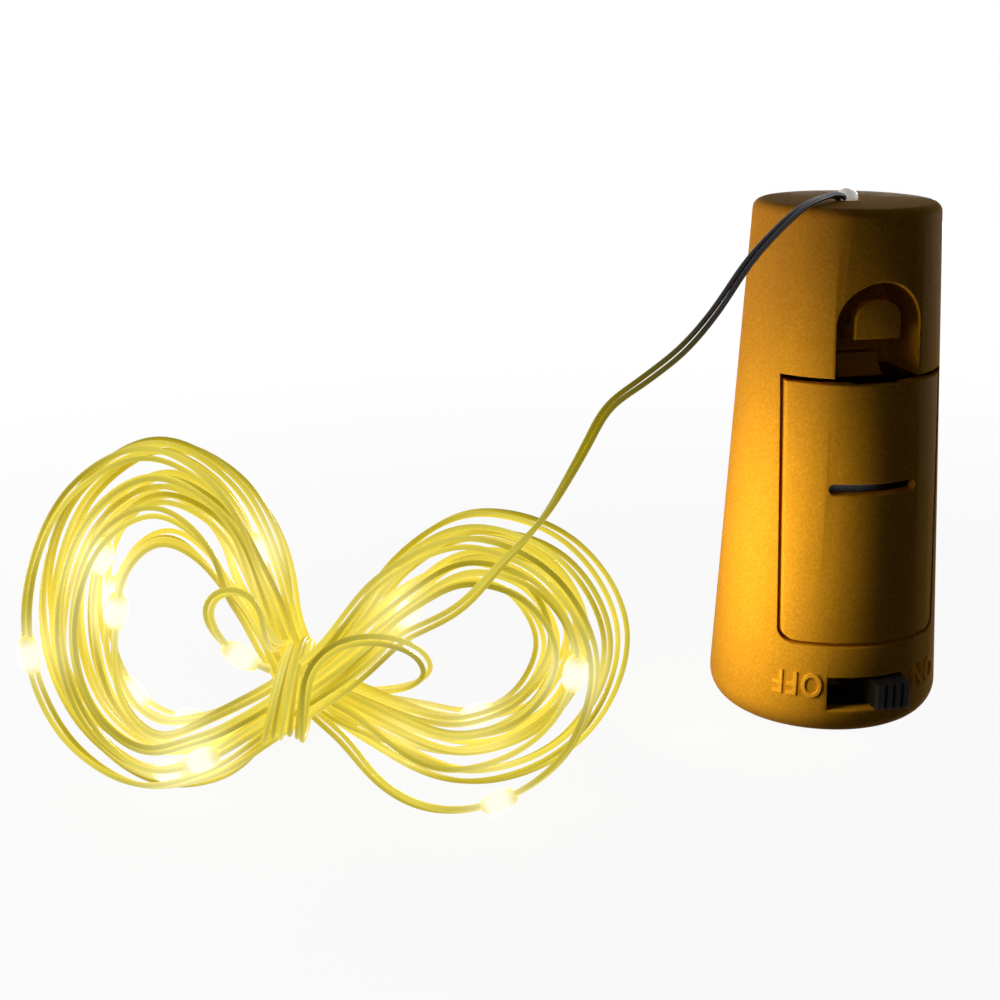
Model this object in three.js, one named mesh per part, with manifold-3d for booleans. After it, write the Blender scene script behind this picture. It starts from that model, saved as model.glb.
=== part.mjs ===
// Fairy lights: a cork-shaped battery pack with a string of lights wound into a tied bow.
// Millimetres, +Z up. The origin is the middle of the pack's wide end, which stands on a surface.
// The battery cover and the switch face -Y.
import * as THREE from 'three';
import { mergeVertices } from 'three/addons/utils/BufferGeometryUtils.js';
import Module from 'manifold-3d';

const wasm = await Module();
wasm.setup();

// Pack body
const packHeight = 45.4;
const wideRadius = 10.25;
const narrowRadius = 7.9;
const wideFillet = 2.8;
const narrowFillet = 0.8;
const wall = 1.2;
const roof = 1.4;
const gap = 0.3;
const roundSegments = 40;
const smallSegments = 24;
const filletSteps = 6;
const edgeSteps = 4;
const bendSteps = 8;
const weld = 1e-5;

// How far a cutter reaches past the faces that it cuts
const overrun = 1;

// Cap in the wide end
const capRadius = 6.6;
const capPlate = 1;
const capStepRadius = 5.8;
const capStep = 0.6;
const shoulder = 0.5;

// Battery cover, in the side
const coverBottom = 8.7;
const coverTop = 31.1;
const coverHalfWidth = 6.95;
const coverCorner = 1.9;
const coverThickness = 1.2;
const coverTopGap = 0.45;
const slitHeight = 22.2;
const slitHalfLength = 3.9;
const slitWidth = 0.9;
const tabX = 4.5;
const tabWidth = 2.4;
const tabThickness = 0.9;
const tabReach = 1.5;
const tabRoot = 1.4;
const tabSwing = 0.75;

// Spring latch of the cover, in its arch-shaped recess
const archHalfWidth = 3.7;
const archTop = 39.5;
const archFloorY = -1.9;
const pocketWall = 0.8;
const latchHalfWidth = 2.05;
const latchStrip = 1;
const latchBendInner = 1.8;
const padTop = 37.9;
const padRecess = 1;

// Button cells and their bay
const cellRadius = 5.8;
const cellHeight = 5.4;
const cellCount = 3;
const cellGap = 0.2;
const cellRim = 0.7;
const cellCapRadius = 5.1;
const bayClearance = 0.3;
const bayWall = 0.8;
const partition = 1;
const upperPartition = 0.9;
const lowerPartitionTop = 8.1;
const ribThickness = 1;
const wireSlot = 1.5;

// Battery contacts
const contactSheet = 0.3;
const contactHalfWidth = 3.4;
const contactGap = 0.2;
const tailHalfWidth = 0.9;
const tailY = 4.4;
const lowerTail = 1.2;
const upperTail = 2.2;
const springWire = 0.5;
const springTurns = 2.4;
const springSteps = 12;
const springHeight = 2.55;
const springBaseRadius = 3.6;
const springTopRadius = 2.5;

// Slide switch
const switchHeight = 4.15;
const switchTravel = 3.5;
const knobWidth = 3;
const knobHeight = 2.3;
const knobProud = 1.2;
const knobGroove = 0.3;
const canHalfLength = 4.7;
const canHalfHeight = 2.05;
const canClearance = 0.35;
const canDepth = 3.5;
const canSheet = 0.35;
const carriageHalfLength = 2.2;
const carriageHalfHeight = 1.35;
const carriageThickness = 1;
const wiperThickness = 0.25;
const waferThickness = 0.8;
const waferSetBack = 0.1;
const terminalPitch = 2.6;
const terminalWidth = 0.7;
const terminalThickness = 0.4;
const terminalTail = 0.8;
const boardThickness = 0.8;
const boardHalfLength = 5.5;
const boardHalfHeight = 2.3;
const cradleThickness = 1;
const cradleSink = 0.1;
const resistorX = -3.6;
const resistorLift = 1.3;
const resistorLength = 2;
const resistorWidth = 1.2;
const resistorHeight = 0.6;

// Wires and glue
const wireDiameter = 0.7;
const wireSides = 6;
const exitHoleRadius = 1.25;
const glueCollarRadius = 2.2;
const glueCollar = 1.2;
const wireGap = 0.25;
const leadInnerTail = 0.5;

// Bow of wound wire. Its plane is turned about +Z from the face of the cover.
const bowTurn = THREE.MathUtils.degToRad(-13.5);
const bowX = -45.65;
const bowY = -22;
const bowZ = -0.55;
const bowLayers = 4;
const turnsPerLayer = 3;
const stepsPerTurn = 42;
const loopLayerPitch = 1.75;
const waistLayerPitch = 1.14;
const waistX = 0.8;
const waistZ = 9.6;
const waistPlateau = 4.5;
const waistFade = 13;
const layerSway = 0.55;
const layerWaves = 2;
const layerPhase = 0.37;
const turnSway = 0.22;
const turnWaves = 1.31;
const depthSway = 0.08;
const depthWaves = 1.73;
const climbHalf = 0.25;
const frontRunAt = 0.107;
const lookAhead = 0.002;

// Middle line of one turn: x from the bow's middle, height, and pitch of the turns side by side.
// It runs from the right loop through the waist, round the left loop and back through the waist.
const bowLine = [
  [7.3, 14.8, 1.5],
  [4.2, 10.2, 1.25],
  [0.8, 9.6, 1.14],
  [-2.2, 8.9, 1.2],
  [-6.6, 6.9, 1.7],
  [-11.2, 5.0, 2.1],
  [-15.5, 9.0, 2.1],
  [-16.8, 16.0, 2.1],
  [-14.2, 23.6, 2.5],
  [-8.8, 26.6, 2.7],
  [-4.2, 22.8, 2.2],
  [-3.4, 15.8, 1.5],
  [-2.5, 10.6, 1.25],
  [0.8, 9.6, 1.14],
  [4.0, 8.9, 1.2],
  [8.2, 6.6, 1.7],
  [13.2, 5.5, 2.0],
  [19.4, 8.2, 1.8],
  [22.0, 14.2, 1.7],
  [18.8, 20.2, 1.7],
  [12.8, 21.9, 1.75],
];

// Slack stretches that stand off the outside of the right loop: turn count, reach and spread in turns
const slackStretches = [
  [2.86, 2.6, 0.09],
  [8.76, 2.2, 0.08],
];

// End of the wire, wound round the waist
const wrapTurns = 4;
const wrapPitch = 1.15;
const wrapSteps = 20;
const wrapHalfHeight = 3.15;
const wrapHalfDepth = 5.5;
const wrapFlare = 1.6;
const wrapShear = 0.1;

// Where the end of the wire comes to the waist and leaves it, from the bow's middle
const wrapLeadIn = [[8.7, -1.3, 11.0], [8.3, -3.6, 9.8], [6.4, -5.3, 9.2]];
const wrapTail = [
  [-2.6, -5.2, 11.2],
  [-3.9, -4.6, 14.4],
  [-5.0, -3.6, 17.2],
  [-6.6, -3.0, 17.9],
  [-7.8, -2.7, 16.6],
  [-8.0, -2.6, 14.2],
  [-6.9, -2.6, 12.7],
  [-3.6, -2.9, 11.9],
  [-2.9, -2.96, 11.73],
];
const neighbourSteps = 5;

// Lights
const ledCount = 15;
const ledSpacing = 100;
const ledFirst = 36;
const ledRadius = 1.05;
const ledLength = 3.4;
const ledWall = 0.12;
const ledArc = 1.2;
const ledArcSteps = 3;
const ledSegments = 8;

// Derived heights and places
const coneSlope = (narrowRadius - wideRadius) / packHeight;
const coneRadius = (z) => wideRadius + coneSlope * z;
const bayRadius = cellRadius + bayClearance;
const bayOuter = bayRadius + bayWall;
const plateBottom = lowerPartitionTop + contactGap;
const springBottom = plateBottom + contactSheet + contactGap;
const cellsBottom = springBottom + springHeight + contactGap;
const cellsTop = cellsBottom + cellCount * cellHeight + (cellCount - 1) * cellGap;
const positiveBottom = cellsTop + contactGap;
const upperPartitionBottom = positiveBottom + contactSheet + contactGap;
const upperPartitionTop = upperPartitionBottom + upperPartition;
const windowBottom = coverBottom - gap;
const windowTop = coverTop + coverTopGap;
const windowHalfWidth = coverHalfWidth + gap;
const cavityFloor = capPlate + gap + shoulder;
const roofBottom = packHeight - roof;
const collarTop = roofBottom - gap;
const collarBottom = collarTop - glueCollar;
const leadInnerEnd = collarBottom - leadInnerTail;
const knobHalf = knobWidth / 2;
const switchRestX = switchTravel / 2;
const slotHalfLength = switchRestX + knobHalf + gap;
const slotHalfHeight = knobHeight / 2 + gap;
const canWall = coneRadius(switchHeight + canHalfHeight) - wall;
const canFrontY = canClearance - Math.sqrt(canWall ** 2 - canHalfLength ** 2);
const canBackY = canFrontY + canDepth;
const bendOuter = latchBendInner + latchStrip;
const bendY = archFloorY - gap - bendOuter;
const bendZ = coverTop + latchBendInner;
const wireRadius = wireDiameter / 2;
const far = 2 * wideRadius;

// Builds a closed solid from a closed geometry.
function solid(geometry) {
  const bare = geometry.clone();
  bare.deleteAttribute('normal');
  bare.deleteAttribute('uv');
  const merged = mergeVertices(bare, weld);
  const source = merged.index.array;
  const kept = [];
  for (let i = 0; i < source.length; i += 3) {
    const [a, b, c] = [source[i], source[i + 1], source[i + 2]];
    if (a !== b && b !== c && c !== a) kept.push(a, b, c);
  }
  const vertProperties = new Float32Array(merged.attributes.position.array);
  const triVerts = new Uint32Array(kept);
  return new wasm.Manifold(new wasm.Mesh({ numProp: 3, vertProperties, triVerts }));
}

// Gives a solid's surface back as a geometry.
function surface(body) {
  const mesh = body.getMesh();
  const geometry = new THREE.BufferGeometry();
  geometry.setAttribute('position', new THREE.BufferAttribute(mesh.vertProperties, 3));
  geometry.setIndex(new THREE.BufferAttribute(mesh.triVerts, 1));
  geometry.computeVertexNormals();
  return geometry;
}

// Turns a profile of [radius, height] pairs about +Z.
function revolve(profile, segments = roundSegments) {
  const points = profile.map(([r, z]) => new THREE.Vector2(r, z));
  return new THREE.LatheGeometry(points, segments).rotateX(Math.PI / 2);
}

// Points of a quarter arc or less, in [across, up] pairs.
function arc(cx, cz, radius, from, to, steps) {
  const points = [];
  for (let i = 0; i <= steps; i++) {
    const angle = from + ((to - from) * i) / steps;
    points.push([cx + radius * Math.cos(angle), cz + radius * Math.sin(angle)]);
  }
  return points;
}

// A closed outline from [across, up] pairs.
function outline(points) {
  return new THREE.Shape(points.map(([a, b]) => new THREE.Vector2(a, b)));
}

function extruded(shape, depth) {
  return new THREE.ExtrudeGeometry(shape, { depth, bevelEnabled: false, curveSegments: 10 });
}

// Extrusions of an outline along each axis, between two places on it.
function alongZ(shape, from, to) {
  return extruded(shape, to - from).translate(0, 0, from);
}

function alongY(shape, from, to) {
  return extruded(shape, to - from).rotateX(Math.PI / 2).translate(0, to, 0);
}

function alongX(shape, from, to) {
  const turn = new THREE.Matrix4().set(0, 0, 1, 0, 1, 0, 0, 0, 0, 1, 0, 0, 0, 0, 0, 1);
  return extruded(shape, to - from).applyMatrix4(turn).translate(from, 0, 0);
}

// A box between two corners.
function box(x0, y0, z0, x1, y1, z1) {
  const geometry = new THREE.BoxGeometry(x1 - x0, y1 - y0, z1 - z0);
  return geometry.translate((x0 + x1) / 2, (y0 + y1) / 2, (z0 + z1) / 2);
}

// A disc or post along +Z.
function post(radius, from, to, segments = roundSegments) {
  return revolve([[0, from], [radius, from], [radius, to], [0, to]], segments);
}

// A closed tube along a list of points, each ring square to the way through its point.
function windingTube(points, radius, sides) {
  const rings = points.length;
  const positions = [];
  const indices = [];
  const normal = new THREE.Vector3();
  for (let i = 0; i < rings; i++) {
    const before = points[Math.max(i - 1, 0)];
    const after = points[Math.min(i + 1, rings - 1)];
    const way = after.clone().sub(before).normalize();
    if (i === 0) normal.set(way.z, way.x, way.y).cross(way);
    normal.addScaledVector(way, -normal.dot(way)).normalize();
    const side = way.clone().cross(normal);
    for (let k = 0; k < sides; k++) {
      const angle = (2 * Math.PI * k) / sides;
      const spoke = points[i].clone();
      spoke.addScaledVector(normal, radius * Math.cos(angle));
      spoke.addScaledVector(side, radius * Math.sin(angle));
      positions.push(spoke.x, spoke.y, spoke.z);
    }
  }
  for (let i = 0; i < rings - 1; i++) {
    for (let k = 0; k < sides; k++) {
      const a = i * sides + k;
      const b = i * sides + ((k + 1) % sides);
      indices.push(a, b, a + sides, b, b + sides, a + sides);
    }
  }
  const last = (rings - 1) * sides;
  for (let k = 1; k < sides - 1; k++) {
    indices.push(0, k + 1, k, last, last + k, last + k + 1);
  }
  const geometry = new THREE.BufferGeometry();
  geometry.setAttribute('position', new THREE.Float32BufferAttribute(positions, 3));
  geometry.setIndex(indices);
  geometry.computeVertexNormals();
  return geometry;
}

// A round tube along a smooth curve through a few points.
function routedTube(points, diameter, steps, sides = 8) {
  const section = [];
  for (let k = 0; k < sides; k++) {
    const angle = (2 * Math.PI * k) / sides;
    section.push([(diameter / 2) * Math.cos(angle), (diameter / 2) * Math.sin(angle)]);
  }
  const extrudePath = new THREE.CatmullRomCurve3(points, false, 'centripetal');
  return new THREE.ExtrudeGeometry(outline(section), { steps, bevelEnabled: false, extrudePath });
}

const vector = ([x, y, z]) => new THREE.Vector3(x, y, z);

// Materials
function matte(color, roughness, metalness = 0) {
  return new THREE.MeshStandardMaterial({ color, roughness, metalness });
}
const goldPlastic = matte(0xc8863a, 0.5);
const blackPlastic = matte(0x0c0b0b, 0.45);
const brownBoard = matte(0x7a5a30, 0.6);
const steel = matte(0xb9bcc0, 0.3, 1);
const brass = matte(0xc9a550, 0.35, 1);
const whiteGlue = matte(0xf1efe8, 0.4);
const charcoalWire = matte(0x34323a, 0.45);
const yellowWire = matte(0xdcc800, 0.35);
const litResin = matte(0xfff6d8, 0.15);
const blackChip = matte(0x1b1b1d, 0.5);

const object = new THREE.Group();
object.name = 'fairy_lights';
const string = new THREE.Group();
string.rotation.z = bowTurn;
object.add(string);

function add(name, geometry, material, group = object) {
  const mesh = new THREE.Mesh(geometry, material);
  mesh.name = name;
  group.add(mesh);
  return mesh;
}

// Whole outside of the pack as one solid cork, which the housing and the cover are cut from
const filletFoot = coneRadius(wideFillet) - wideFillet;
const filletHead = coneRadius(packHeight - narrowFillet) - narrowFillet;
const corkProfile = [
  [0, 0],
  ...arc(filletFoot, wideFillet, wideFillet, -Math.PI / 2, 0, filletSteps),
  ...arc(filletHead, packHeight - narrowFillet, narrowFillet, 0, Math.PI / 2, edgeSteps),
  [0, packHeight],
];
const cork = solid(revolve(corkProfile));
const coverSeat = cork.translate([0, coverThickness + gap, 0]);

// The pack's cone, drawn in all round by an inset.
function coneBody(inset) {
  return solid(revolve([
    [0, 0],
    [coneRadius(0) - inset, 0],
    [coneRadius(packHeight) - inset, packHeight],
    [0, packHeight],
  ]));
}

// Outline of the cover or of its window: square at the top, round at the lower corners.
function coverOutline(halfWidth, bottom, top, corner) {
  const shape = new THREE.Shape();
  shape.moveTo(halfWidth, top);
  shape.lineTo(-halfWidth, top);
  shape.lineTo(-halfWidth, bottom + corner);
  shape.absarc(-halfWidth + corner, bottom + corner, corner, Math.PI, 1.5 * Math.PI, false);
  shape.lineTo(halfWidth - corner, bottom);
  shape.absarc(halfWidth - corner, bottom + corner, corner, -Math.PI / 2, 0, false);
  return shape;
}

// Arch with straight sides from a foot to a round top.
function archOutline(halfWidth, foot, top) {
  const shape = new THREE.Shape();
  shape.moveTo(-halfWidth, foot);
  shape.lineTo(halfWidth, foot);
  shape.absarc(0, top - halfWidth, halfWidth, 0, Math.PI, false);
  return shape;
}

// Slot with round ends.
function slotOutline(halfLength, height, width) {
  const r = width / 2;
  const shape = new THREE.Shape();
  shape.moveTo(-halfLength + r, height - r);
  shape.lineTo(halfLength - r, height - r);
  shape.absarc(halfLength - r, height, r, -Math.PI / 2, Math.PI / 2, false);
  shape.lineTo(-halfLength + r, height + r);
  shape.absarc(-halfLength + r, height, r, Math.PI / 2, 1.5 * Math.PI, false);
  return shape;
}

// Housing: tapered shell with the bay, the latch pocket and the switch cradle moulded inside
function housing() {
  const cavity = solid(revolve([
    [0, cavityFloor],
    [coneRadius(cavityFloor) - wall, cavityFloor],
    [coneRadius(roofBottom) - wall, roofBottom],
    [0, roofBottom],
  ]));
  const window = coverOutline(windowHalfWidth, windowBottom, windowTop, coverCorner + gap);
  const shell = cork
    .subtract(cavity)
    .subtract(solid(post(capRadius + gap, -overrun, capPlate + gap)))
    .subtract(solid(post(capStepRadius + gap, -overrun, cavityFloor + gap)))
    .subtract(solid(alongY(window, -far, -gap)))
    .subtract(solid(alongY(archOutline(archHalfWidth, coverBottom, archTop), -far, archFloorY)))
    .subtract(solid(box(-slotHalfLength, -far, switchHeight - slotHalfHeight,
      slotHalfLength, -gap, switchHeight + slotHalfHeight)));

  const trough = new THREE.Shape();
  trough.moveTo(bayOuter, -far);
  trough.absarc(0, 0, bayOuter, 0, Math.PI, false);
  trough.lineTo(-bayOuter, -far);
  trough.lineTo(-bayRadius, -far);
  trough.absarc(0, 0, bayRadius, Math.PI, 0, true);
  trough.lineTo(bayRadius, -far);
  const lowerBottom = lowerPartitionTop - partition;
  const ribHalf = ribThickness / 2;
  const tabNotch = tabWidth / 2 + gap;
  const notchTop = coverBottom + tabRoot + overrun;
  const notches = solid(box(tabX - tabNotch, -far, 0, tabX + tabNotch, 0, notchTop))
    .add(solid(box(-tabX - tabNotch, -far, 0, -tabX + tabNotch, 0, notchTop)))
    .subtract(coneBody(wall + gap + tabThickness + tabSwing));
  const bay = solid(alongZ(trough, lowerBottom, upperPartitionTop))
    .add(solid(box(-bayOuter, -far, lowerBottom, bayOuter, far, lowerPartitionTop)))
    .add(solid(box(-bayOuter, -far, upperPartitionBottom, bayOuter, far, upperPartitionTop)))
    .add(solid(box(-far, -ribHalf, lowerBottom, -bayRadius, ribHalf, upperPartitionTop)))
    .add(solid(box(bayRadius, -ribHalf, lowerBottom, far, ribHalf, upperPartitionTop)))
    .subtract(solid(box(-wireSlot / 2, bayRadius - gap, 0, wireSlot / 2, far, packHeight)))
    .subtract(solid(box(-tailHalfWidth - gap, tailY - gap, 0,
      tailHalfWidth + gap, tailY + contactSheet + gap, packHeight)))
    .subtract(notches)
    .intersect(coverSeat);

  const pocketHalf = archHalfWidth + pocketWall;
  const pocketTop = archTop + pocketWall;
  const inArch = archOutline(archHalfWidth, windowTop - overrun, archTop);
  const floorOutline = archOutline(pocketHalf, upperPartitionBottom, pocketTop);
  const pocket = solid(alongY(archOutline(pocketHalf, windowTop, pocketTop), -far, archFloorY))
    .subtract(solid(alongY(inArch, -far, far)))
    .add(solid(alongY(floorOutline, archFloorY, archFloorY + pocketWall)));

  const cradleX = canHalfLength + gap;
  const cradleTop = switchHeight + canHalfHeight + gap;
  const cradleFoot = cavityFloor - cradleSink;
  const cradleOuter = cradleX + cradleThickness;
  const cradle = solid(box(cradleX, -far, cradleFoot, cradleOuter, canBackY, cradleTop))
    .add(solid(box(-cradleOuter, -far, cradleFoot, -cradleX, canBackY, cradleTop)));

  const glueRoom = solid(post(glueCollarRadius + gap, collarBottom - gap, roofBottom, smallSegments));
  const inside = bay.add(pocket).add(cradle).subtract(glueRoom).intersect(cork);
  return shell.add(inside)
    .subtract(solid(post(exitHoleRadius, roofBottom - overrun, packHeight + overrun, smallSegments)));
}
add('housing', surface(housing()), goldPlastic);

// Cap that closes the switch chamber and stands on the surface
add('base_cap', revolve([
  [0, 0],
  [capRadius, 0],
  [capRadius, capPlate],
  [capStepRadius, capPlate],
  [capStepRadius, capPlate + capStep],
  [0, capPlate + capStep],
]), goldPlastic);

// The latch is a U-shaped strip: the cover carries its lower half, the finger pad ends the upper half.
const bendSplit = gap / 2 / (latchBendInner + latchStrip / 2);

function latchRoot() {
  const start = -coneRadius(coverTop) + coverThickness / 2;
  const profile = outline([
    [start, bendZ - bendOuter],
    ...arc(bendY, bendZ, bendOuter, -Math.PI / 2, -bendSplit, bendSteps),
    ...arc(bendY, bendZ, latchBendInner, -bendSplit, -Math.PI / 2, bendSteps),
    [start, bendZ - latchBendInner],
  ]);
  return solid(alongX(profile, -latchHalfWidth, latchHalfWidth));
}

function latchFinger() {
  const padFront = -coneRadius((bendZ + padTop) / 2) + padRecess;
  const profile = outline([
    ...arc(bendY, bendZ, bendOuter, bendSplit, Math.PI / 2, bendSteps),
    [padFront + latchStrip, bendZ + bendOuter],
    [padFront + latchStrip, padTop],
    [padFront, padTop],
    [padFront, bendZ + latchBendInner],
    ...arc(bendY, bendZ, latchBendInner, Math.PI / 2, bendSplit, bendSteps),
  ]);
  const strip = solid(alongX(profile, -latchHalfWidth, latchHalfWidth));
  const front = archOutline(latchHalfWidth, bendZ - bendOuter, padTop);
  return strip.intersect(solid(alongY(front, -wideRadius, wideRadius)));
}

// Cover: a slice of the cork's side with the pull-tab slit, two lower tabs and the latch root
function batteryCover() {
  const front = coverOutline(coverHalfWidth, coverBottom, coverTop, coverCorner);
  const slit = slotOutline(slitHalfLength, slitHeight, slitWidth);
  const tabTop = coverBottom + tabRoot;
  const behindWall = coneBody(wall + gap);
  const insideTabs = coneBody(wall + gap + tabThickness);
  const pressedIn = cork.translate([0, coverThickness / 2, 0]);
  let cover = cork
    .intersect(solid(alongY(front, -far, -gap)))
    .subtract(cork.translate([0, coverThickness, 0]))
    .subtract(solid(alongY(slit, -far, 0)))
    .add(latchRoot());
  for (const x of [-tabX, tabX]) {
    const [left, right] = [x - tabWidth / 2, x + tabWidth / 2];
    const tongue = solid(box(left, -far, coverBottom - tabReach, right, 0, tabTop));
    const root = solid(box(left, -far, coverBottom + gap, right, 0, tabTop));
    const tab = tongue.intersect(behindWall).add(root.intersect(pressedIn));
    cover = cover.add(tab.subtract(insideTabs));
  }
  return cover;
}
add('battery_cover', surface(batteryCover()), goldPlastic);
add('cover_latch', surface(latchFinger()), goldPlastic);

// Button cells: can with a rolled rim and the smaller cap below
for (let i = 0; i < cellCount; i++) {
  const bottom = cellsBottom + i * (cellHeight + cellGap);
  const top = bottom + cellHeight;
  add(`cell_${i + 1}`, revolve([
    [0, bottom],
    [cellCapRadius, bottom],
    [cellCapRadius, bottom + cellRim],
    [cellRadius, bottom + cellRim],
    [cellRadius, top - cellRim / 2],
    [cellRadius - cellRim / 2, top],
    [0, top],
  ], smallSegments), steel);
}

// Contact sheet with a tail that is bent up or down at its back edge.
function contact(bottom, tailFrom, tailTo) {
  const plate = box(-contactHalfWidth, -contactHalfWidth, bottom, contactHalfWidth,
    tailY + contactSheet, bottom + contactSheet);
  const tail = box(-tailHalfWidth, tailY, tailFrom, tailHalfWidth, tailY + contactSheet, tailTo);
  return surface(solid(plate).add(solid(tail)));
}
const negativeTailEnd = lowerPartitionTop - partition - lowerTail;
const positiveTailEnd = upperPartitionTop + upperTail;
add('negative_plate', contact(plateBottom, negativeTailEnd, plateBottom + contactSheet), brass);
add('positive_contact', contact(positiveBottom, positiveBottom, positiveTailEnd), brass);

// Conical contact spring, wide on its plate and narrow at the cell
function springRoute() {
  const points = [];
  const steps = Math.round(springTurns * springSteps);
  const low = springBottom + springWire / 2;
  const rise = springHeight - springWire;
  for (let i = 0; i <= steps; i++) {
    const share = i / steps;
    const angle = 2 * Math.PI * springTurns * share;
    const radius = springBaseRadius + (springTopRadius - springBaseRadius) * share;
    const [x, y] = [radius * Math.cos(angle), radius * Math.sin(angle)];
    points.push(new THREE.Vector3(x, y, low + rise * share));
  }
  return points;
}
const springPoints = springRoute();
add('negative_spring', windingTube(springPoints, springWire / 2, wireSides), steel);

// Slide switch behind its window
const canLow = switchHeight - canHalfHeight;
const canHigh = switchHeight + canHalfHeight;

function switchCan() {
  const inside = box(-canHalfLength + canSheet, canFrontY + canSheet, canLow + canSheet,
    canHalfLength - canSheet, canBackY + overrun, canHigh - canSheet);
  const slot = box(-slotHalfLength, canFrontY - overrun, switchHeight - slotHalfHeight,
    slotHalfLength, canFrontY + overrun, switchHeight + slotHalfHeight);
  return solid(box(-canHalfLength, canFrontY, canLow, canHalfLength, canBackY, canHigh))
    .subtract(solid(inside))
    .subtract(solid(slot));
}
add('switch_can', surface(switchCan()), blackPlastic);

const carriageFront = canFrontY + canSheet + gap;
const carriageBack = carriageFront + carriageThickness;
const knobFront = -coneRadius(switchHeight) - knobProud;

function switchSlider() {
  const low = switchHeight - knobHeight / 2;
  const high = switchHeight + knobHeight / 2;
  let slider = solid(box(-carriageHalfLength, carriageFront, switchHeight - carriageHalfHeight,
    carriageHalfLength, carriageBack, switchHeight + carriageHalfHeight))
    .add(solid(box(-knobHalf, knobFront, low, knobHalf, carriageFront + gap, high)));
  for (const x of [-1, 0, 1]) {
    const middle = (x * knobWidth) / 4;
    slider = slider.subtract(solid(box(middle - knobGroove / 2, knobFront - overrun, low - overrun,
      middle + knobGroove / 2, knobFront + knobGroove, high + overrun)));
  }
  return slider;
}
const slider = add('switch_slider', surface(switchSlider()), blackPlastic);
slider.position.x = switchRestX;

const wiperHalfLength = (terminalPitch + terminalWidth) / 2;
const wiperBack = carriageBack + contactGap + wiperThickness;
const wiper = add('switch_wiper', box(-wiperHalfLength, carriageBack + contactGap,
  switchHeight - terminalWidth, wiperHalfLength, wiperBack, switchHeight + terminalWidth), brass);
wiper.position.x = switchRestX;

// Insulating wafer and board, pierced for the three terminals
const terminalFront = wiperBack + contactGap;
const waferFront = canBackY - waferThickness - waferSetBack;
const boardFront = canBackY + gap;
const boardBack = boardFront + boardThickness;

function pierced(halfLength, halfHeight, front, thickness) {
  let plate = solid(box(-halfLength, front, switchHeight - halfHeight,
    halfLength, front + thickness, switchHeight + halfHeight));
  for (const i of [-1, 0, 1]) {
    const x = i * terminalPitch;
    plate = plate.subtract(solid(box(x - terminalWidth / 2 - gap, front - overrun,
      switchHeight - terminalThickness / 2 - gap, x + terminalWidth / 2 + gap,
      front + thickness + overrun, switchHeight + terminalThickness / 2 + gap)));
  }
  return surface(plate);
}
add('switch_wafer', pierced(canHalfLength - canSheet - gap, canHalfHeight - canSheet - gap,
  waferFront, waferThickness), brownBoard);
add('switch_board', pierced(boardHalfLength, boardHalfHeight, boardFront, boardThickness), brownBoard);
for (const i of [-1, 0, 1]) {
  const x = i * terminalPitch;
  add(`switch_terminal_${i + 2}`, box(x - terminalWidth / 2, terminalFront,
    switchHeight - terminalThickness / 2, x + terminalWidth / 2, boardBack + terminalTail,
    switchHeight + terminalThickness / 2), brass);
}
const resistorFront = boardBack + contactGap;
const resistorLow = switchHeight + resistorLift - resistorWidth / 2;
add('series_resistor', box(resistorX - resistorLength / 2, resistorFront, resistorLow,
  resistorX + resistorLength / 2, resistorFront + resistorHeight, resistorLow + resistorWidth), blackChip);

// Wires inside the pack, between the contacts, the board and the string
const soldered = boardBack + gap;
const returnY = bayRadius + gap + wireRadius;
add('lead_spring', routedTube([
  [0, tailY - gap - wireRadius, negativeTailEnd + 0.5],
  [0.2, 2.2, negativeTailEnd - 0.1],
  [1.1, 0, switchHeight + 1.6],
  [1.3, soldered, switchHeight + 1.5],
].map(vector), wireDiameter, 12), yellowWire);
add('lead_return', routedTube([
  [4.6, soldered, switchHeight],
  [4.8, 0.6, switchHeight],
  [3.2, 4.6, switchHeight + 0.3],
  [0.6, 6.3, switchHeight + 1.6],
  [0, returnY, lowerPartitionTop + 0.6],
  [0, returnY, (cellsBottom + cellsTop) / 2],
  [0, returnY, upperPartitionTop - 0.4],
  [-0.8, 5.6, upperPartitionTop + 3.4],
  [-1.6, 2.6, leadInnerEnd - 5],
  [-0.55, 0, leadInnerEnd - 1.6],
  [-0.5, 0, leadInnerEnd - gap],
].map(vector), wireDiameter, 44), yellowWire);
add('lead_positive', routedTube([
  [0, tailY - gap - wireRadius, positiveTailEnd - 0.6],
  [0.8, 3, positiveTailEnd + 2.2],
  [1.4, 1.4, leadInnerEnd - 4.6],
  [0.55, 0, leadInnerEnd - 1.6],
  [0.5, 0, leadInnerEnd - gap],
].map(vector), wireDiameter, 20), yellowWire);

// Hot-melt glue that holds the string in the narrow end
const glueBore = wireRadius + wireGap;
const glueStem = exitHoleRadius - gap;
const collarBulge = glueCollar / 2;
add('exit_glue', revolve([
  [glueBore, collarBottom],
  ...arc(glueCollarRadius - collarBulge, collarTop - collarBulge, collarBulge,
    -Math.PI / 2, Math.PI / 2, bendSteps),
  [glueStem, collarTop],
  ...arc(glueBore, packHeight, glueStem - glueBore, 0, Math.PI / 2, edgeSteps),
  [glueBore, collarBottom],
], smallSegments), whiteGlue);

// Route of the bow: turns side by side in layers, out and in by turns, drawn in at the waist
const bowCurve = new THREE.CatmullRomCurve3(bowLine.map(vector), true, 'centripetal');
const turnCount = bowLayers * turnsPerLayer;
const smooth = (from, to, value) => THREE.MathUtils.smoothstep(value, from, to);
const mix = THREE.MathUtils.lerp;

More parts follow.
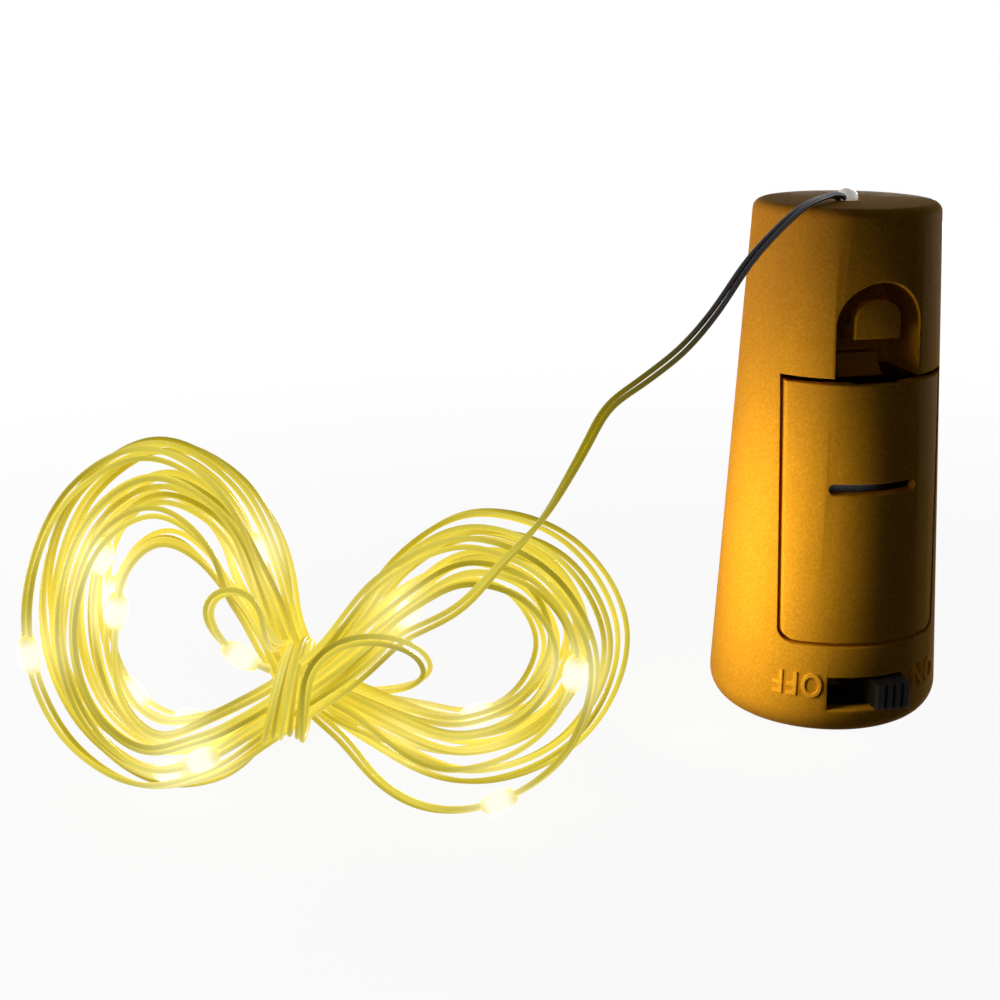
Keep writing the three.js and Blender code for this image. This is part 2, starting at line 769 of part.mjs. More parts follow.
function bowPoint(turn) {
  const along = ((turn % 1) + 1) % 1;
  const [line, ahead] = [bowCurve.getPoint(along), bowCurve.getPoint((along + lookAhead) % 1)];
  const way = new THREE.Vector2(ahead.x - line.x, ahead.y - line.y).normalize();
  const fromWaist = Math.hypot(line.x - waistX, line.y - waistZ);
  const drawnIn = 1 - smooth(waistPlateau, waistFade, fromWaist);
  const loose = 1 - drawnIn;

  const layerStart = Math.min(Math.floor(turn / turnsPerLayer), bowLayers - 1);
  const inLayer = turn / turnsPerLayer - layerStart;
  const spiral = (layerStart % 2 === 0 ? inLayer - 0.5 : 0.5 - inLayer) * turnsPerLayer;
  let layer = 0;
  for (let climb = 1; climb < bowLayers; climb++) {
    const at = climb * turnsPerLayer;
    layer += smooth(at - climbHalf, at + climbHalf, turn);
  }

  const layerWave = Math.sin(2 * Math.PI * (layerWaves * along + layerPhase * layer) + layer);
  const turnWave = Math.sin(2 * Math.PI * turnWaves * turn);
  let aside = spiral * line.z + loose * (layerSway * layerWave + turnSway * turnWave);
  for (const [at, reach, spread] of slackStretches) {
    aside += reach * Math.exp(-(((turn - at) / spread) ** 2));
  }
  const front = Math.cos(2 * Math.PI * (along - frontRunAt)) > 0 ? -1 : 1;
  const middle = (bowLayers - 1) / 2;
  const depth = (layer - middle) * mix(loopLayerPitch, waistLayerPitch, drawnIn)
    + front * (bowLayers / 2) * waistLayerPitch * drawnIn
    + loose * depthSway * Math.sin(2 * Math.PI * depthWaves * turn);
  return new THREE.Vector3(
    bowX + line.x + aside * way.y,
    bowY + depth,
    bowZ + line.y - aside * way.x,
  );
}

function bowRoute() {
  const points = [];
  for (let i = 0; i <= turnCount * stepsPerTurn; i++) {
    points.push(bowPoint(i / stepsPerTurn));
  }
  return points;
}
const bowPoints = bowRoute();
const bowStart = bowPoints[0];
const bowEnd = bowPoints[bowPoints.length - 1];
const startWay = bowPoints[1].clone().sub(bowStart).normalize();
const endWay = bowEnd.clone().sub(bowPoints[bowPoints.length - 2]).normalize();
add('string_hank', windingTube(bowPoints, wireRadius, wireSides), yellowWire, string);

// Free stretch of the string, from the narrow end to the bow
const leadPoints = [
  [0, 0, leadInnerEnd],
  [0, 0, packHeight + gap],
  [-0.5, -0.7, 46.3],
  [-2.6, -3.6, 46.1],
  [-4.6, -6.9, 45.8],
  [-6.3, -8.6, 44.7],
  [-9.4, -10.2, 41.9],
  [-12.6, -12.6, 37.8],
  [-15.2, -14.6, 35.3],
  [-18.3, -16.9, 33.4],
  [-21.3, -19.2, 31.7],
  [-22.9, -21.2, 29.4],
  [-24.5, -23.6, 27.2],
  [-26.5, -26.6, 24.9],
  [-29.5, -27.7, 21.9],
  [-32.5, -27.3, 18.4],
].map(vector);
leadPoints.push(bowStart.clone().addScaledVector(startWay, -gap - 2 * wireDiameter));
leadPoints.push(bowStart.clone().addScaledVector(startWay, -gap));
add('string_lead', routedTube(leadPoints, wireDiameter, 64), charcoalWire, string);

// End of the string: slack out of the bow, round the waist, and a loose loop that ends in a light
function wrapRoute() {
  const inBow = ([x, y, z]) => new THREE.Vector3(bowX + x, bowY + y, bowZ + z);
  const corners = [
    bowEnd.clone().addScaledVector(endWay, gap),
    bowEnd.clone().addScaledVector(endWay, gap + wireDiameter),
    ...wrapLeadIn.map(inBow),
  ];
  const span = wrapTurns * wrapPitch;
  for (let i = 0; i <= wrapTurns * wrapSteps; i++) {
    const share = i / (wrapTurns * wrapSteps);
    const angle = Math.PI + 2 * Math.PI * wrapTurns * share;
    const across = (0.5 - share) * span;
    const flare = wrapFlare * (2 * share - 1) ** 2;
    const up = Math.sign(Math.sin(angle)) * Math.sqrt(Math.abs(Math.sin(angle)));
    const back = Math.sign(Math.cos(angle)) * Math.sqrt(Math.abs(Math.cos(angle)));
    const lift = (wrapHalfHeight + flare) * up;
    corners.push(inBow([waistX + across + wrapShear * lift, wrapHalfDepth * back, waistZ + lift]));
  }
  corners.push(...wrapTail.map(inBow));
  return corners;
}
const wrapPoints = wrapRoute();
add('hank_wrap', windingTube(wrapPoints, wireRadius, wireSides), yellowWire, string);

// Least distance between the surfaces of a tube's own turns, measured on its points and midpoints.
function leastGap(points, diameter) {
  const apart = neighbourSteps + 1;
  let least = Infinity;
  const spots = [];
  points.forEach((point, i) => {
    spots.push(point);
    if (i + 1 < points.length) spots.push(point.clone().lerp(points[i + 1], 0.5));
  });
  for (let i = 0; i < spots.length; i++) {
    for (let k = i + 2 * apart; k < spots.length; k++) {
      least = Math.min(least, spots[i].distanceTo(spots[k]));
    }
  }
  return least - diameter;
}

function lengthOf(points) {
  let length = 0;
  for (let i = 1; i < points.length; i++) length += points[i].distanceTo(points[i - 1]);
  return length;
}

// Lights: resin drops threaded on the string, each moved along to where the turns leave it room
function ledDrop() {
  const bore = wireRadius + wireGap;
  const half = ledLength / 2;
  const profile = [[bore, -half]];
  for (let i = 0; i <= ledArcSteps; i++) {
    const angle = ledArc * ((2 * i) / ledArcSteps - 1);
    const share = (Math.cos(angle) - Math.cos(ledArc)) / (1 - Math.cos(ledArc));
    profile.push([bore + ledWall + (ledRadius - bore - ledWall) * share, half * (angle / ledArc)]);
  }
  profile.push([bore, half], [bore, -half]);
  return revolve(profile, ledSegments);
}

function roomAt(spot, points, from, to) {
  let least = Infinity;
  points.forEach((point, i) => {
    const next = points[Math.min(i + 1, points.length - 1)];
    if (i >= from && i <= to) return;
    least = Math.min(least, spot.distanceTo(point), spot.distanceTo(point.clone().lerp(next, 0.5)));
  });
  return least;
}

// How far the string leaves the axis of a drop within the drop's length.
function bendAt(step) {
  const [before, from, to, after] = bowPoints.slice(step - 1, step + 3);
  const way = to.clone().sub(from);
  const overhang = Math.max((ledLength - way.length()) / 2, 0);
  const turnIn = from.clone().sub(before).angleTo(way);
  const turnOut = after.clone().sub(to).angleTo(way);
  return overhang * Math.sin(Math.max(turnIn, turnOut));
}

const leadCurve = new THREE.CatmullRomCurve3(leadPoints, false, 'centripetal').getPoints(90);
const ledNeed = ledRadius + wireRadius + contactGap;
const ledSpots = [];
function hasRoom(step) {
  const spot = bowPoints[step].clone().lerp(bowPoints[step + 1], 0.5);
  const others = [
    roomAt(spot, bowPoints, step - neighbourSteps, step + neighbourSteps + 1),
    roomAt(spot, wrapPoints, -1, -1),
    roomAt(spot, leadCurve, -1, -1),
    ...ledSpots.map((led) => led.distanceTo(spot) - ledRadius),
  ];
  const clear = spot.z > ledRadius + gap && Math.min(...others) > ledNeed;
  return clear && bendAt(step) < wireGap / 2;
}

function stepAt(length) {
  let run = 0;
  let step = 0;
  while (run < length && step < bowPoints.length - 2) {
    run += bowPoints[step].distanceTo(bowPoints[step + 1]);
    step += 1;
  }
  return step;
}

function addLed(number, from, to) {
  const drop = add(`led_${String(number).padStart(2, '0')}`, ledDrop(), litResin, string);
  drop.position.copy(from).lerp(to, 0.5);
  drop.quaternion.setFromUnitVectors(new THREE.Vector3(0, 0, 1), to.clone().sub(from).normalize());
  ledSpots.push(drop.position.clone());
}

for (let i = 0; i < ledCount - 1; i++) {
  const nominal = stepAt(ledFirst + i * ledSpacing);
  let shift = 0;
  while (!hasRoom(nominal + shift) && Math.abs(shift) < stepsPerTurn / 2) {
    shift = shift > 0 ? -shift : 1 - shift;
  }
  addLed(i + 1, bowPoints[nominal + shift], bowPoints[nominal + shift + 1]);
}
const tail = wrapPoints.length - 1;
addLed(ledCount, wrapPoints[tail - 2], wrapPoints[tail - 1]);

console.log('least gap of the bow to itself, mm:', leastGap(bowPoints, wireDiameter).toFixed(2));
console.log('least gap of the wrap to itself, mm:', leastGap(wrapPoints, wireDiameter).toFixed(2));
console.log('least gap of the spring to itself, mm:', leastGap(springPoints, springWire).toFixed(2));
console.log('length of the string, mm:',
  (lengthOf(leadCurve) + lengthOf(bowPoints) + lengthOf(wrapPoints)).toFixed(0));

export default object;
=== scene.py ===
# Fairy lights: looks of a cork battery pack and its light string, wound into a tied bow.
# Piece sizes are in millimetres, as on the drawing, and the helpers turn them into metres.
import math

import bpy
from mathutils import Matrix, Vector


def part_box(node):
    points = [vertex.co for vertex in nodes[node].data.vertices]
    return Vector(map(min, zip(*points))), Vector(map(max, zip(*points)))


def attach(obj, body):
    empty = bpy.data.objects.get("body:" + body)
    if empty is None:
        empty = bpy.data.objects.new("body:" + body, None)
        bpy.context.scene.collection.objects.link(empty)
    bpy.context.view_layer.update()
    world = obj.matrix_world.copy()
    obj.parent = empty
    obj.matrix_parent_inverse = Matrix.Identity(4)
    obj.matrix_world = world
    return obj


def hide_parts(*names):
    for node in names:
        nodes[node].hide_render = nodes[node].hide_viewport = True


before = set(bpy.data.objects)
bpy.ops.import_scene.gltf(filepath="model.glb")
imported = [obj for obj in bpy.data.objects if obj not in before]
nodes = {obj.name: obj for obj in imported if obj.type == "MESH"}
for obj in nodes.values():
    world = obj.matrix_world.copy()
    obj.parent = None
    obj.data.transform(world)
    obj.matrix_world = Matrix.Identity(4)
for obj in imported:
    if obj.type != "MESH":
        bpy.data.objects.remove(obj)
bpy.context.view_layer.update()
mm = 0.001
touch = 0.01  # points closer than this count as level
sharpAngle = 35  # degrees between faces that meet in an edge
edgeSteps = 3  # steps of a small rounded edge
past = 1  # how far a cut goes past what it cuts
print("frame:", len(nodes), "nodes")


def clearSelection():
    if bpy.context.mode != "OBJECT":
        bpy.ops.object.mode_set(mode="OBJECT")
    bpy.ops.object.select_all(action="DESELECT")


def takeUp(piece):
    clearSelection()
    piece.select_set(True)
    bpy.context.view_layer.objects.active = piece


# Shader maths on sockets
class Value:
    def __init__(self, finish, socket):
        self.finish = finish
        self.socket = socket

    def maths(self, operation, first, second):
        return self.finish.node("ShaderNodeMath", {"operation": operation}, {0: first, 1: second})

    def __add__(self, other):
        return self.maths("ADD", self, other)

    def __radd__(self, other):
        return self.maths("ADD", other, self)

    def __mul__(self, other):
        return self.maths("MULTIPLY", self, other)

    def __rmul__(self, other):
        return self.maths("MULTIPLY", other, self)

    def dimmed(self, level):  # a colour times a number
        return self.finish.blend(level, (0, 0, 0), self)


class Finish:
    def __init__(self, name, holder=bpy.data.materials, shader="Principled BSDF", **settings):
        self.made = holder.new(name)
        self.made.use_nodes = True
        self.tree = self.made.node_tree
        self.shader = self.tree.nodes[shader]
        for socket, value in settings.items():
            self.set(socket.replace("_", " "), value)

    def feed(self, socket, value):
        if isinstance(value, Value):
            self.tree.links.new(value.socket, socket)
        elif hasattr(value, "__len__") and socket.type == "RGBA":
            socket.default_value = (*value, 1)
        else:
            socket.default_value = value

    def set(self, name, value):
        self.feed(self.shader.inputs[name], value)

    def node(self, kind, settings=None, inputs=None, output=0):
        added = self.tree.nodes.new(kind)
        for key, value in (settings or {}).items():
            if key == "stops":
                self.ramp(added.color_ramp, value)
            else:
                setattr(added, key, value)
        for key, value in (inputs or {}).items():
            self.feed(added.inputs[key], value)
        return Value(self, added.outputs[output])

    def ramp(self, ramp, stops):
        ramp.elements.remove(ramp.elements[1])
        ramp.elements[0].position = stops[0][0]
        ramp.elements[0].color = (*stops[0][1], 1)
        for place, colour in stops[1:]:
            ramp.elements.new(place).color = (*colour, 1)

    def place(self):
        return self.node("ShaderNodeTexCoord", output="Object")

    def noise(self, size, detail=2.0):  # size of the grain in millimetres
        inputs = {"Vector": self.place(), "Scale": 1 / (size * mm), "Detail": detail}
        return self.node("ShaderNodeTexNoise", None, inputs)

    def speckle(self, size):
        inputs = {"Vector": self.place(), "Scale": 1 / (size * mm)}
        return self.node("ShaderNodeTexVoronoi", None, inputs)

    def attribute(self, name):
        return self.node("ShaderNodeAttribute", {"attribute_name": name}, output="Fac")

    def blend(self, share, first, second):
        inputs = {0: share, 6: first, 7: second}
        return self.node("ShaderNodeMix", {"data_type": "RGBA"}, inputs, 2)

    def colours(self, share, stops):
        return self.node("ShaderNodeValToRGB", {"stops": stops}, {"Fac": share})

    def bump(self, height, strength, depth):  # depth in millimetres
        inputs = {"Height": height, "Strength": strength, "Distance": depth * mm}
        self.set("Normal", self.node("ShaderNodeBump", None, inputs))


# Finishes of the pack and the string
goldLook = {
    "specular": 0.015,
    "grain": (0.13, 0.5),  # size in millimetres and share of the tone
    "grainDetail": 3.0,
    "pearl": (0.24, 0.35),
    "blotch": (2.5, 0.15),
    "tones": [
        (0.25, (0.56, 0.250, 0.020)),
        (0.45, (0.68, 0.320, 0.030)),
        (0.70, (0.78, 0.385, 0.046)),
    ],
    "roughness": (0.5, 0.16),  # level and spread
    "relief": (0.3, 0.02),  # strength, and depth in millimetres
    "grainRelief": 0.6,
    "pearlRelief": 0.4,
    # The words are paler than the body: a painted highlight of their lit edges
    "wordsHighlight": 1.5,
}


def goldPlastic(name, highlightGain=1.0):
    finish = Finish(name, Specular_IOR_Level=goldLook["specular"])
    grainSize, grainShare = goldLook["grain"]
    pearlSize, pearlShare = goldLook["pearl"]
    blotchSize, blotchShare = goldLook["blotch"]
    grain = finish.noise(grainSize, goldLook["grainDetail"])
    blotch = finish.noise(blotchSize)
    pearl = finish.speckle(pearlSize)
    share = grain * grainShare + pearl * pearlShare + blotch * blotchShare
    stops = []
    for place, colour in goldLook["tones"]:
        stops.append((place, [min(tone * highlightGain, 1) for tone in colour]))
    finish.set("Base Color", finish.colours(share, stops))
    level, spread = goldLook["roughness"]
    finish.set("Roughness", level + grain * spread)
    height = grain * goldLook["grainRelief"] + pearl * goldLook["pearlRelief"]
    finish.bump(height, *goldLook["relief"])
    return finish.made


# Finishes of one grain: its size and detail, its dark and pale tones, level and spread of the
# roughness, strength and depth of the relief, and sockets that are the same all over
grainLooks = {
    "blackPlastic": {
        "grain": (0.2, 3.0), "tones": ((0.006, 0.005, 0.005), (0.016, 0.014, 0.013)),
        "roughness": (0.42, 0.2), "relief": (0.3, 0.02), "fixed": {"Specular_IOR_Level": 0.08},
    },
    "meltGlue": {
        "grain": (0.6, 3.0), "tones": ((0.84, 0.83, 0.80), (0.97, 0.96, 0.94)),
        "roughness": (0.25, 0.15), "relief": (0.3, 0.05),
        "fixed": {
            "Subsurface_Weight": 0.2, "Subsurface_Scale": 0.0006, "Coat_Weight": 1.0,
            # The emission is painted light: the glue glows as if lit from behind
            "Emission_Color": (1.0, 0.98, 0.94), "Emission_Strength": 0.25,
        },
    },
    "cellSteel": {
        # Grey steel, kept darker than bare steel as painted shade for cells in the dark of the pack
        "grain": (0.5, 4.0), "tones": ((0.12, 0.12, 0.125), (0.26, 0.26, 0.27)),
        "roughness": (0.34, 0.18), "relief": (0.15, 0.01), "fixed": {"Metallic": 1.0},
    },
    "contactBrass": {
        "grain": (0.4, 4.0), "tones": ((0.46, 0.31, 0.09), (0.72, 0.53, 0.20)),
        "roughness": (0.22, 0.18), "relief": (0.15, 0.01), "fixed": {"Metallic": 1.0},
    },
    "pressedBoard": {
        "grain": (0.35, 5.0), "tones": ((0.16, 0.08, 0.025), (0.30, 0.17, 0.06)),
        "roughness": (0.5, 0.25), "relief": (0.25, 0.03), "fixed": {},
    },
}


def grained(name):
    look = grainLooks[name]
    finish = Finish(name, **look["fixed"])
    grain = finish.noise(*look["grain"])
    finish.set("Base Color", finish.blend(grain, *look["tones"]))
    level, spread = look["roughness"]
    finish.set("Roughness", level + grain * spread)
    finish.bump(grain, *look["relief"])
    return finish.made


wireLook = {
    # Base colour along the wire: the black of the unlit lead at the pack is painted shade, turning
    # to the yellow lacquer of the lit bow
    "shadedLacquer": [  # from the black end at the pack to the yellow of the bow
        (0.0, (0.050, 0.047, 0.056)),
        (0.10, (0.055, 0.050, 0.040)),
        (0.32, (0.17, 0.145, 0.010)),
        (0.65, (0.40, 0.34, 0.006)),
        (1.0, (0.56, 0.47, 0.004)),
    ],
    # Emission colours are painted light: a dim glow on the lead, a bright glow in the bow and a
    # halo round each light
    "leadPaintedGlow": [(0.15, (0, 0, 0)), (0.6, (0.08, 0.065, 0)), (1.0, (0.21, 0.17, 0.001))],
    "bowPaintedGlow": (0.68, 0.575, 0.075),
    "paintedHalo": (0.80, 0.74, 0.32),
    "roughness": (0.28, 0.2),
    "streak": 0.6,
    "streakShare": 0.35,
    "streakLevel": 0.55,
}


def lacquerWire():
    finish = Finish("lacquerWire", Coat_Weight=0.1, Specular_IOR_Level=0.25, Emission_Strength=1.0)
    lit = finish.attribute("lit")
    streak = finish.noise(wireLook["streak"])
    shadedLacquer = finish.colours(lit, wireLook["shadedLacquer"])
    streaked = shadedLacquer.dimmed(wireLook["streakLevel"])
    finish.set("Base Color", finish.blend(streak * wireLook["streakShare"], shadedLacquer, streaked))
    level, spread = wireLook["roughness"]
    finish.set("Roughness", level + streak * spread)
    # Emission: painted glow of the lights on the wire, dim on the lead, bright in the bow, palest
    # near each light
    leadPaintedGlow = finish.colours(lit, wireLook["leadPaintedGlow"])
    paintedGlow = finish.blend(finish.attribute("bright"), leadPaintedGlow, wireLook["bowPaintedGlow"])
    finish.set("Emission Color", finish.blend(finish.attribute("glow"), paintedGlow, wireLook["paintedHalo"]))
    return finish.made


resinLook = {  # at the ends and in the lit middle
    "colour": ((0.80, 0.68, 0.16), (1.0, 0.95, 0.74)),
    "glow": ((0.78, 0.68, 0.20), (1.0, 0.96, 0.78)),
}


def litResin():
    finish = Finish("litResin", Coat_Weight=0.6, Roughness=0.2, Emission_Strength=1.0)
    core = finish.attribute("core")
    finish.set("Base Color", finish.blend(core, *resinLook["colour"]))
    finish.set("Emission Color", finish.blend(core, *resinLook["glow"]))
    return finish.made


gold = goldPlastic("goldPlastic")
# Paler gold for the words, a painted highlight
paintedLitGold = goldPlastic("paintedLitGold", goldLook["wordsHighlight"])
black = grained("blackPlastic")
wire = lacquerWire()
resin = litResin()
glue = grained("meltGlue")
steel = grained("cellSteel")
brass = grained("contactBrass")
board = grained("pressedBoard")
print("finishes:", len(bpy.data.materials))


# Camera, floor, room and lamps
view = {
    "place": (-62.81, -135.09, 61.42),
    "heading": (0.23345, 0.97237),
    "pitchDown": 16.3,
    "focalPixels": 1700,
    "imagePixels": 1000,
    "sensor": 36,
    "clipStart": 0.005,
}
stage = {
    "floorSize": 6.0,
    "floorGrey": 0.05,
    "floorRoughness": 0.9,
    "paperNear": 0.94,  # level of the paper at nearReach, rising to 1 at farReach
    "nearReach": 0.05,
    "farReach": 0.16,
    "ambient": 0.02,
}
lamps = {  # place and aim in metres, width and height, watts, spread in degrees, colour
    "key": ((-0.287, 0.087, 0.010), (0, 0, 0.020), (0.03, 0.03), 0.0135, 34, (1.0, 0.90, 0.50)),
    "upper": ((-0.287, 0.087, 0.025), (0, 0, 0.038), (0.03, 0.03), 0.0042, 26, (0.95, 0.62, 1.0)),
    "bowGlow": ((-0.0205, -0.0095, 0.0167), (0, 0, 0.0167), (0.006, 0.024), 0.0027, 150,
                (1.0, 0.90, 0.30)),
    "fill": ((-0.35, -0.52, 0.10), (-0.02, 0, 0.02), (0.40, 0.40), 0.08, 180, (1.0, 0.95, 0.90)),
    "side": ((0.357, 0.13, 0.02), (0, 0, 0.02), (0.05, 0.05), 0.2, 180, (0.88, 0.94, 1.0)),
    "rim": ((0.16, 0.33, 0.02), (0, 0, 0.02), (0.05, 0.05), 0.5, 180, (0.98, 0.98, 1.0)),
}


def setCamera():
    tilt = math.radians(view["pitchDown"])
    aside, ahead = view["heading"]
    way = Vector((aside * math.cos(tilt), ahead * math.cos(tilt), -math.sin(tilt)))
    clearSelection()
    bpy.ops.object.camera_add(location=Vector(view["place"]) * mm)
    camera = bpy.context.object
    camera.rotation_euler = way.to_track_quat("-Z", "Y").to_euler()
    camera.data.sensor_width = view["sensor"]
    camera.data.lens = view["focalPixels"] / view["imagePixels"] * view["sensor"]
    camera.data.clip_start = view["clipStart"]
    bpy.context.scene.camera = camera


# 1 for what the camera and reflections see, so that the white adds no diffuse light.
def seenDirectly(finish):
    found = 0
    for kind in ("Is Camera Ray", "Is Glossy Ray", "Is Transmission Ray"):
        seen = finish.node("ShaderNodeLightPath", output=kind)
        found = finish.node("ShaderNodeMath", {"operation": "MAXIMUM"}, {0: found, 1: seen})
    return found


def setFloor():
    clearSelection()
    bpy.ops.mesh.primitive_plane_add(size=stage["floorSize"])
    floor = bpy.context.object
    floor.name = "floor"
    paper = Finish("paper", Base_Color=[stage["floorGrey"]] * 3, Roughness=stage["floorRoughness"],
                   Specular_IOR_Level=0.0)
    reach = paper.node("ShaderNodeVectorMath", {"operation": "LENGTH"}, {0: paper.place()}, "Value")
    fade = paper.node("ShaderNodeMapRange", None, {
        "Value": reach, "From Min": stage["nearReach"], "From Max": stage["farReach"],
        "To Min": stage["paperNear"]})
    glow = paper.node("ShaderNodeEmission", None, {"Strength": seenDirectly(paper) * fade})
    surface = Value(paper, paper.shader.outputs[0])
    both = paper.node("ShaderNodeAddShader", None, {0: surface, 1: glow})
    paper.feed(paper.tree.nodes["Material Output"].inputs["Surface"], both)
    floor.data.materials.append(paper.made)


def setRoom():
    room = Finish("room", bpy.data.worlds, "Background", Color=(1, 1, 1))
    bpy.context.scene.world = room.made
    inputs = {0: seenDirectly(room), 1: stage["ambient"]}
    room.set("Strength", room.node("ShaderNodeMath", {"operation": "MAXIMUM"}, inputs))


def setLamps():
    for name, (place, aim, sides, watts, spread, colour) in lamps.items():
        clearSelection()
        bpy.ops.object.light_add(type="AREA", location=place)
        lamp = bpy.context.object
        lamp.name = name
        lamp.rotation_euler = (Vector(aim) - Vector(place)).to_track_quat("-Z", "Y").to_euler()
        lamp.data.shape = "RECTANGLE"
        lamp.data.size, lamp.data.size_y = sides
        lamp.data.energy = watts
        lamp.data.spread = math.radians(spread)
        lamp.data.color = colour
        lamp.visible_camera = False


setCamera()
setFloor()
setRoom()
setLamps()
bpy.context.scene.view_settings.view_transform = "Standard"
print("stage: camera, floor and", len(lamps), "lamps")


# The string: one twin wire from the pack through the bow to its last light
bow = {
    "turned": -13.5,
    "middle": (-45.65, -22.0, -0.55),
    "layers": 4,
    "turnsPerLayer": 3.15,
    "loopLayerPitch": 1.75,
    "waistLayerPitch": 0.74,
    "waist": (-0.3, 10.3),
    "waistPlateau": 4.5,
    "waistFade": 13,
    "layerSway": (0.8, 2, 0.37),
    "turnSways": [(0.28, 1.31, 0.0), (0.42, 2.37, 1.0), (0.26, 3.71, 2.0)],
    "depthSways": [(0.30, 1.73, 0.0), (0.20, 3.10, 0.7)],
    "climbHalf": 0.25,
    "frontRunAt": 0.102,
    "woundTurns": 12.59,
    "slack": [(9.77, 1.85, 0.10), (2.73, 2.1, 0.09), (12.23, -2.2, 0.10)],
    "leftMiddle": (-9.4, 14.9),
    "rightMiddle": (13.2, 13.2),
    "line": [  # across, up, and how far one turn lies from the next
        (5.6, 15.2, 1.3), (2.7, 12.5, 1.1), (-0.3, 10.3, 1.05), (-3.6, 8.1, 1.2), (-7.2, 5.9, 1.5),
        (-11.4, 5.0, 1.65), (-15.4, 8.5, 1.8), (-16.9, 15.6, 1.9), (-14.4, 23.8, 2.1),
        (-9.6, 26.9, 2.2), (-5.0, 24.0, 1.95), (-2.8, 18.4, 1.5), (-1.6, 14.3, 1.2),
        (0.0, 11.2, 1.05), (3.2, 8.9, 1.2), (8.0, 6.7, 1.6), (13.4, 5.5, 1.9), (19.2, 8.2, 1.8),
        (21.8, 14.2, 1.7), (19.0, 19.7, 1.7), (13.6, 21.5, 1.7), (9.0, 18.9, 1.5),
    ],
    "lead": [
        (0, 0, 42), (0, 0, 43.8), (-0.04, -0.06, 44.37), (-0.17, -0.24, 44.9),
        (-0.37, -0.52, 45.36), (-0.64, -0.89, 45.7), (-0.95, -1.32, 45.92), (-1.4, -1.93, 46.0),
        (-2.6, -3.6, 45.95), (-4.6, -6.7, 45.7), (-6.4, -8.6, 44.7), (-9.4, -10.3, 41.9),
        (-12.6, -12.6, 37.8), (-15.2, -14.6, 35.3), (-18.3, -16.9, 33.4), (-21.3, -19.2, 31.7),
        (-22.9, -21.2, 29.4), (-24.5, -23.6, 27.2), (-26.5, -26.6, 24.9), (-29.5, -27.7, 21.9),
        (-32.5, -27.3, 18.4),
    ],
    "leadJoin": (-1.7, -0.3),  # along the first turn's own direction
    "wrapTurns": 4.83,
    "wrapPitch": 0.62,
    "wrapSteps": 24,
    "wrapStart": -0.5,
    "wrapHalf": (3.4, 3.8),
    "wrapRound": 0.7,
    "wrapFlare": 0.25,
    "wrapFan": 0.22,
    "wrapShear": 0.17,
    "wrapLeadIn": [
        (3.4, 3.1, 9.0), (5.6, 3.1, 8.8), (7.9, 1.8, 9.5), (9.6, -0.3, 10.9), (10.6, -2.3, 12.8),
        (9.8, -3.6, 14.8), (7.7, -4.2, 15.9), (5.4, -4.3, 16.0), (3.5, -4.1, 15.3),
        (2.2, -3.8, 14.0),
    ],
    "wrapTail": [
        (-1.1, -1.5, 14.25), (-1.4, -2.8, 15.2), (-1.65, -3.6, 16.5), (-1.77, -4.0, 17.8),
        (-2.14, -4.05, 18.98), (-2.99, -4.0, 19.7), (-4.09, -3.9, 19.89), (-5.13, -3.75, 19.51),
        (-5.85, -3.55, 18.66), (-6.04, -3.35, 17.56), (-5.66, -3.2, 16.5), (-4.9, -3.05, 15.2),
        (-3.8, -2.9, 14.2), (-2.6, -2.8, 13.45), (-1.5, -2.75, 13.0),
    ],
    "tieJoin": (0.3, 1),  # along the last turn's own direction
    "lookAhead": 0.002,
    "samplesPerTurn": 240,
    "curveSpacing": 0.4,
    "spacing": 0.5,
    "softening": 6,
}


def smoothStep(low, high, value):
    share = min(max((value - low) / (high - low), 0), 1)
    return share * share * (3 - 2 * share)


def mix(first, second, share):
    return first + (second - first) * share


# Slope at the middle one of three points, each span timed by the root of its length.
def slope(before, here, after, first, second):
    return (here - before) / first - (after - before) / (first + second) + (after - here) / second


# Point on a smooth curve through points.
def throughPoints(points, share, closed=False):
    count = len(points)
    place = share * (count if closed else count - 1)
    span = int(math.floor(place))
    if not closed:
        span = min(span, count - 2)
    rest = place - span
    here, after = points[span % count], points[(span + 1) % count]
    if closed or span > 0:
        before = points[(span - 1) % count]
    else:
        before = here * 2 - after
    if closed or span + 2 < count:
        beyond = points[(span + 2) % count]
    else:
        beyond = after * 2 - here
    first = math.sqrt((here - before).length)
    middle = math.sqrt((after - here).length)
    last = math.sqrt((beyond - after).length)
    leave = slope(before, here, after, first, middle) * middle
    reach = slope(here, after, beyond, middle, last) * middle
    bent = (after - here) * 3 - leave * 2 - reach
    eased = (here - after) * 2 + leave + reach
    return here + leave * rest + bent * rest ** 2 + eased * rest ** 3


bowLine = [Vector(point) for point in bow["line"]]


def swayed(sways, turn):  # each sway has its reach, its waves in a turn and its start
    whole = 2 * math.pi
    return sum(reach * math.sin(whole * waves * turn + start) for reach, waves, start in sways)


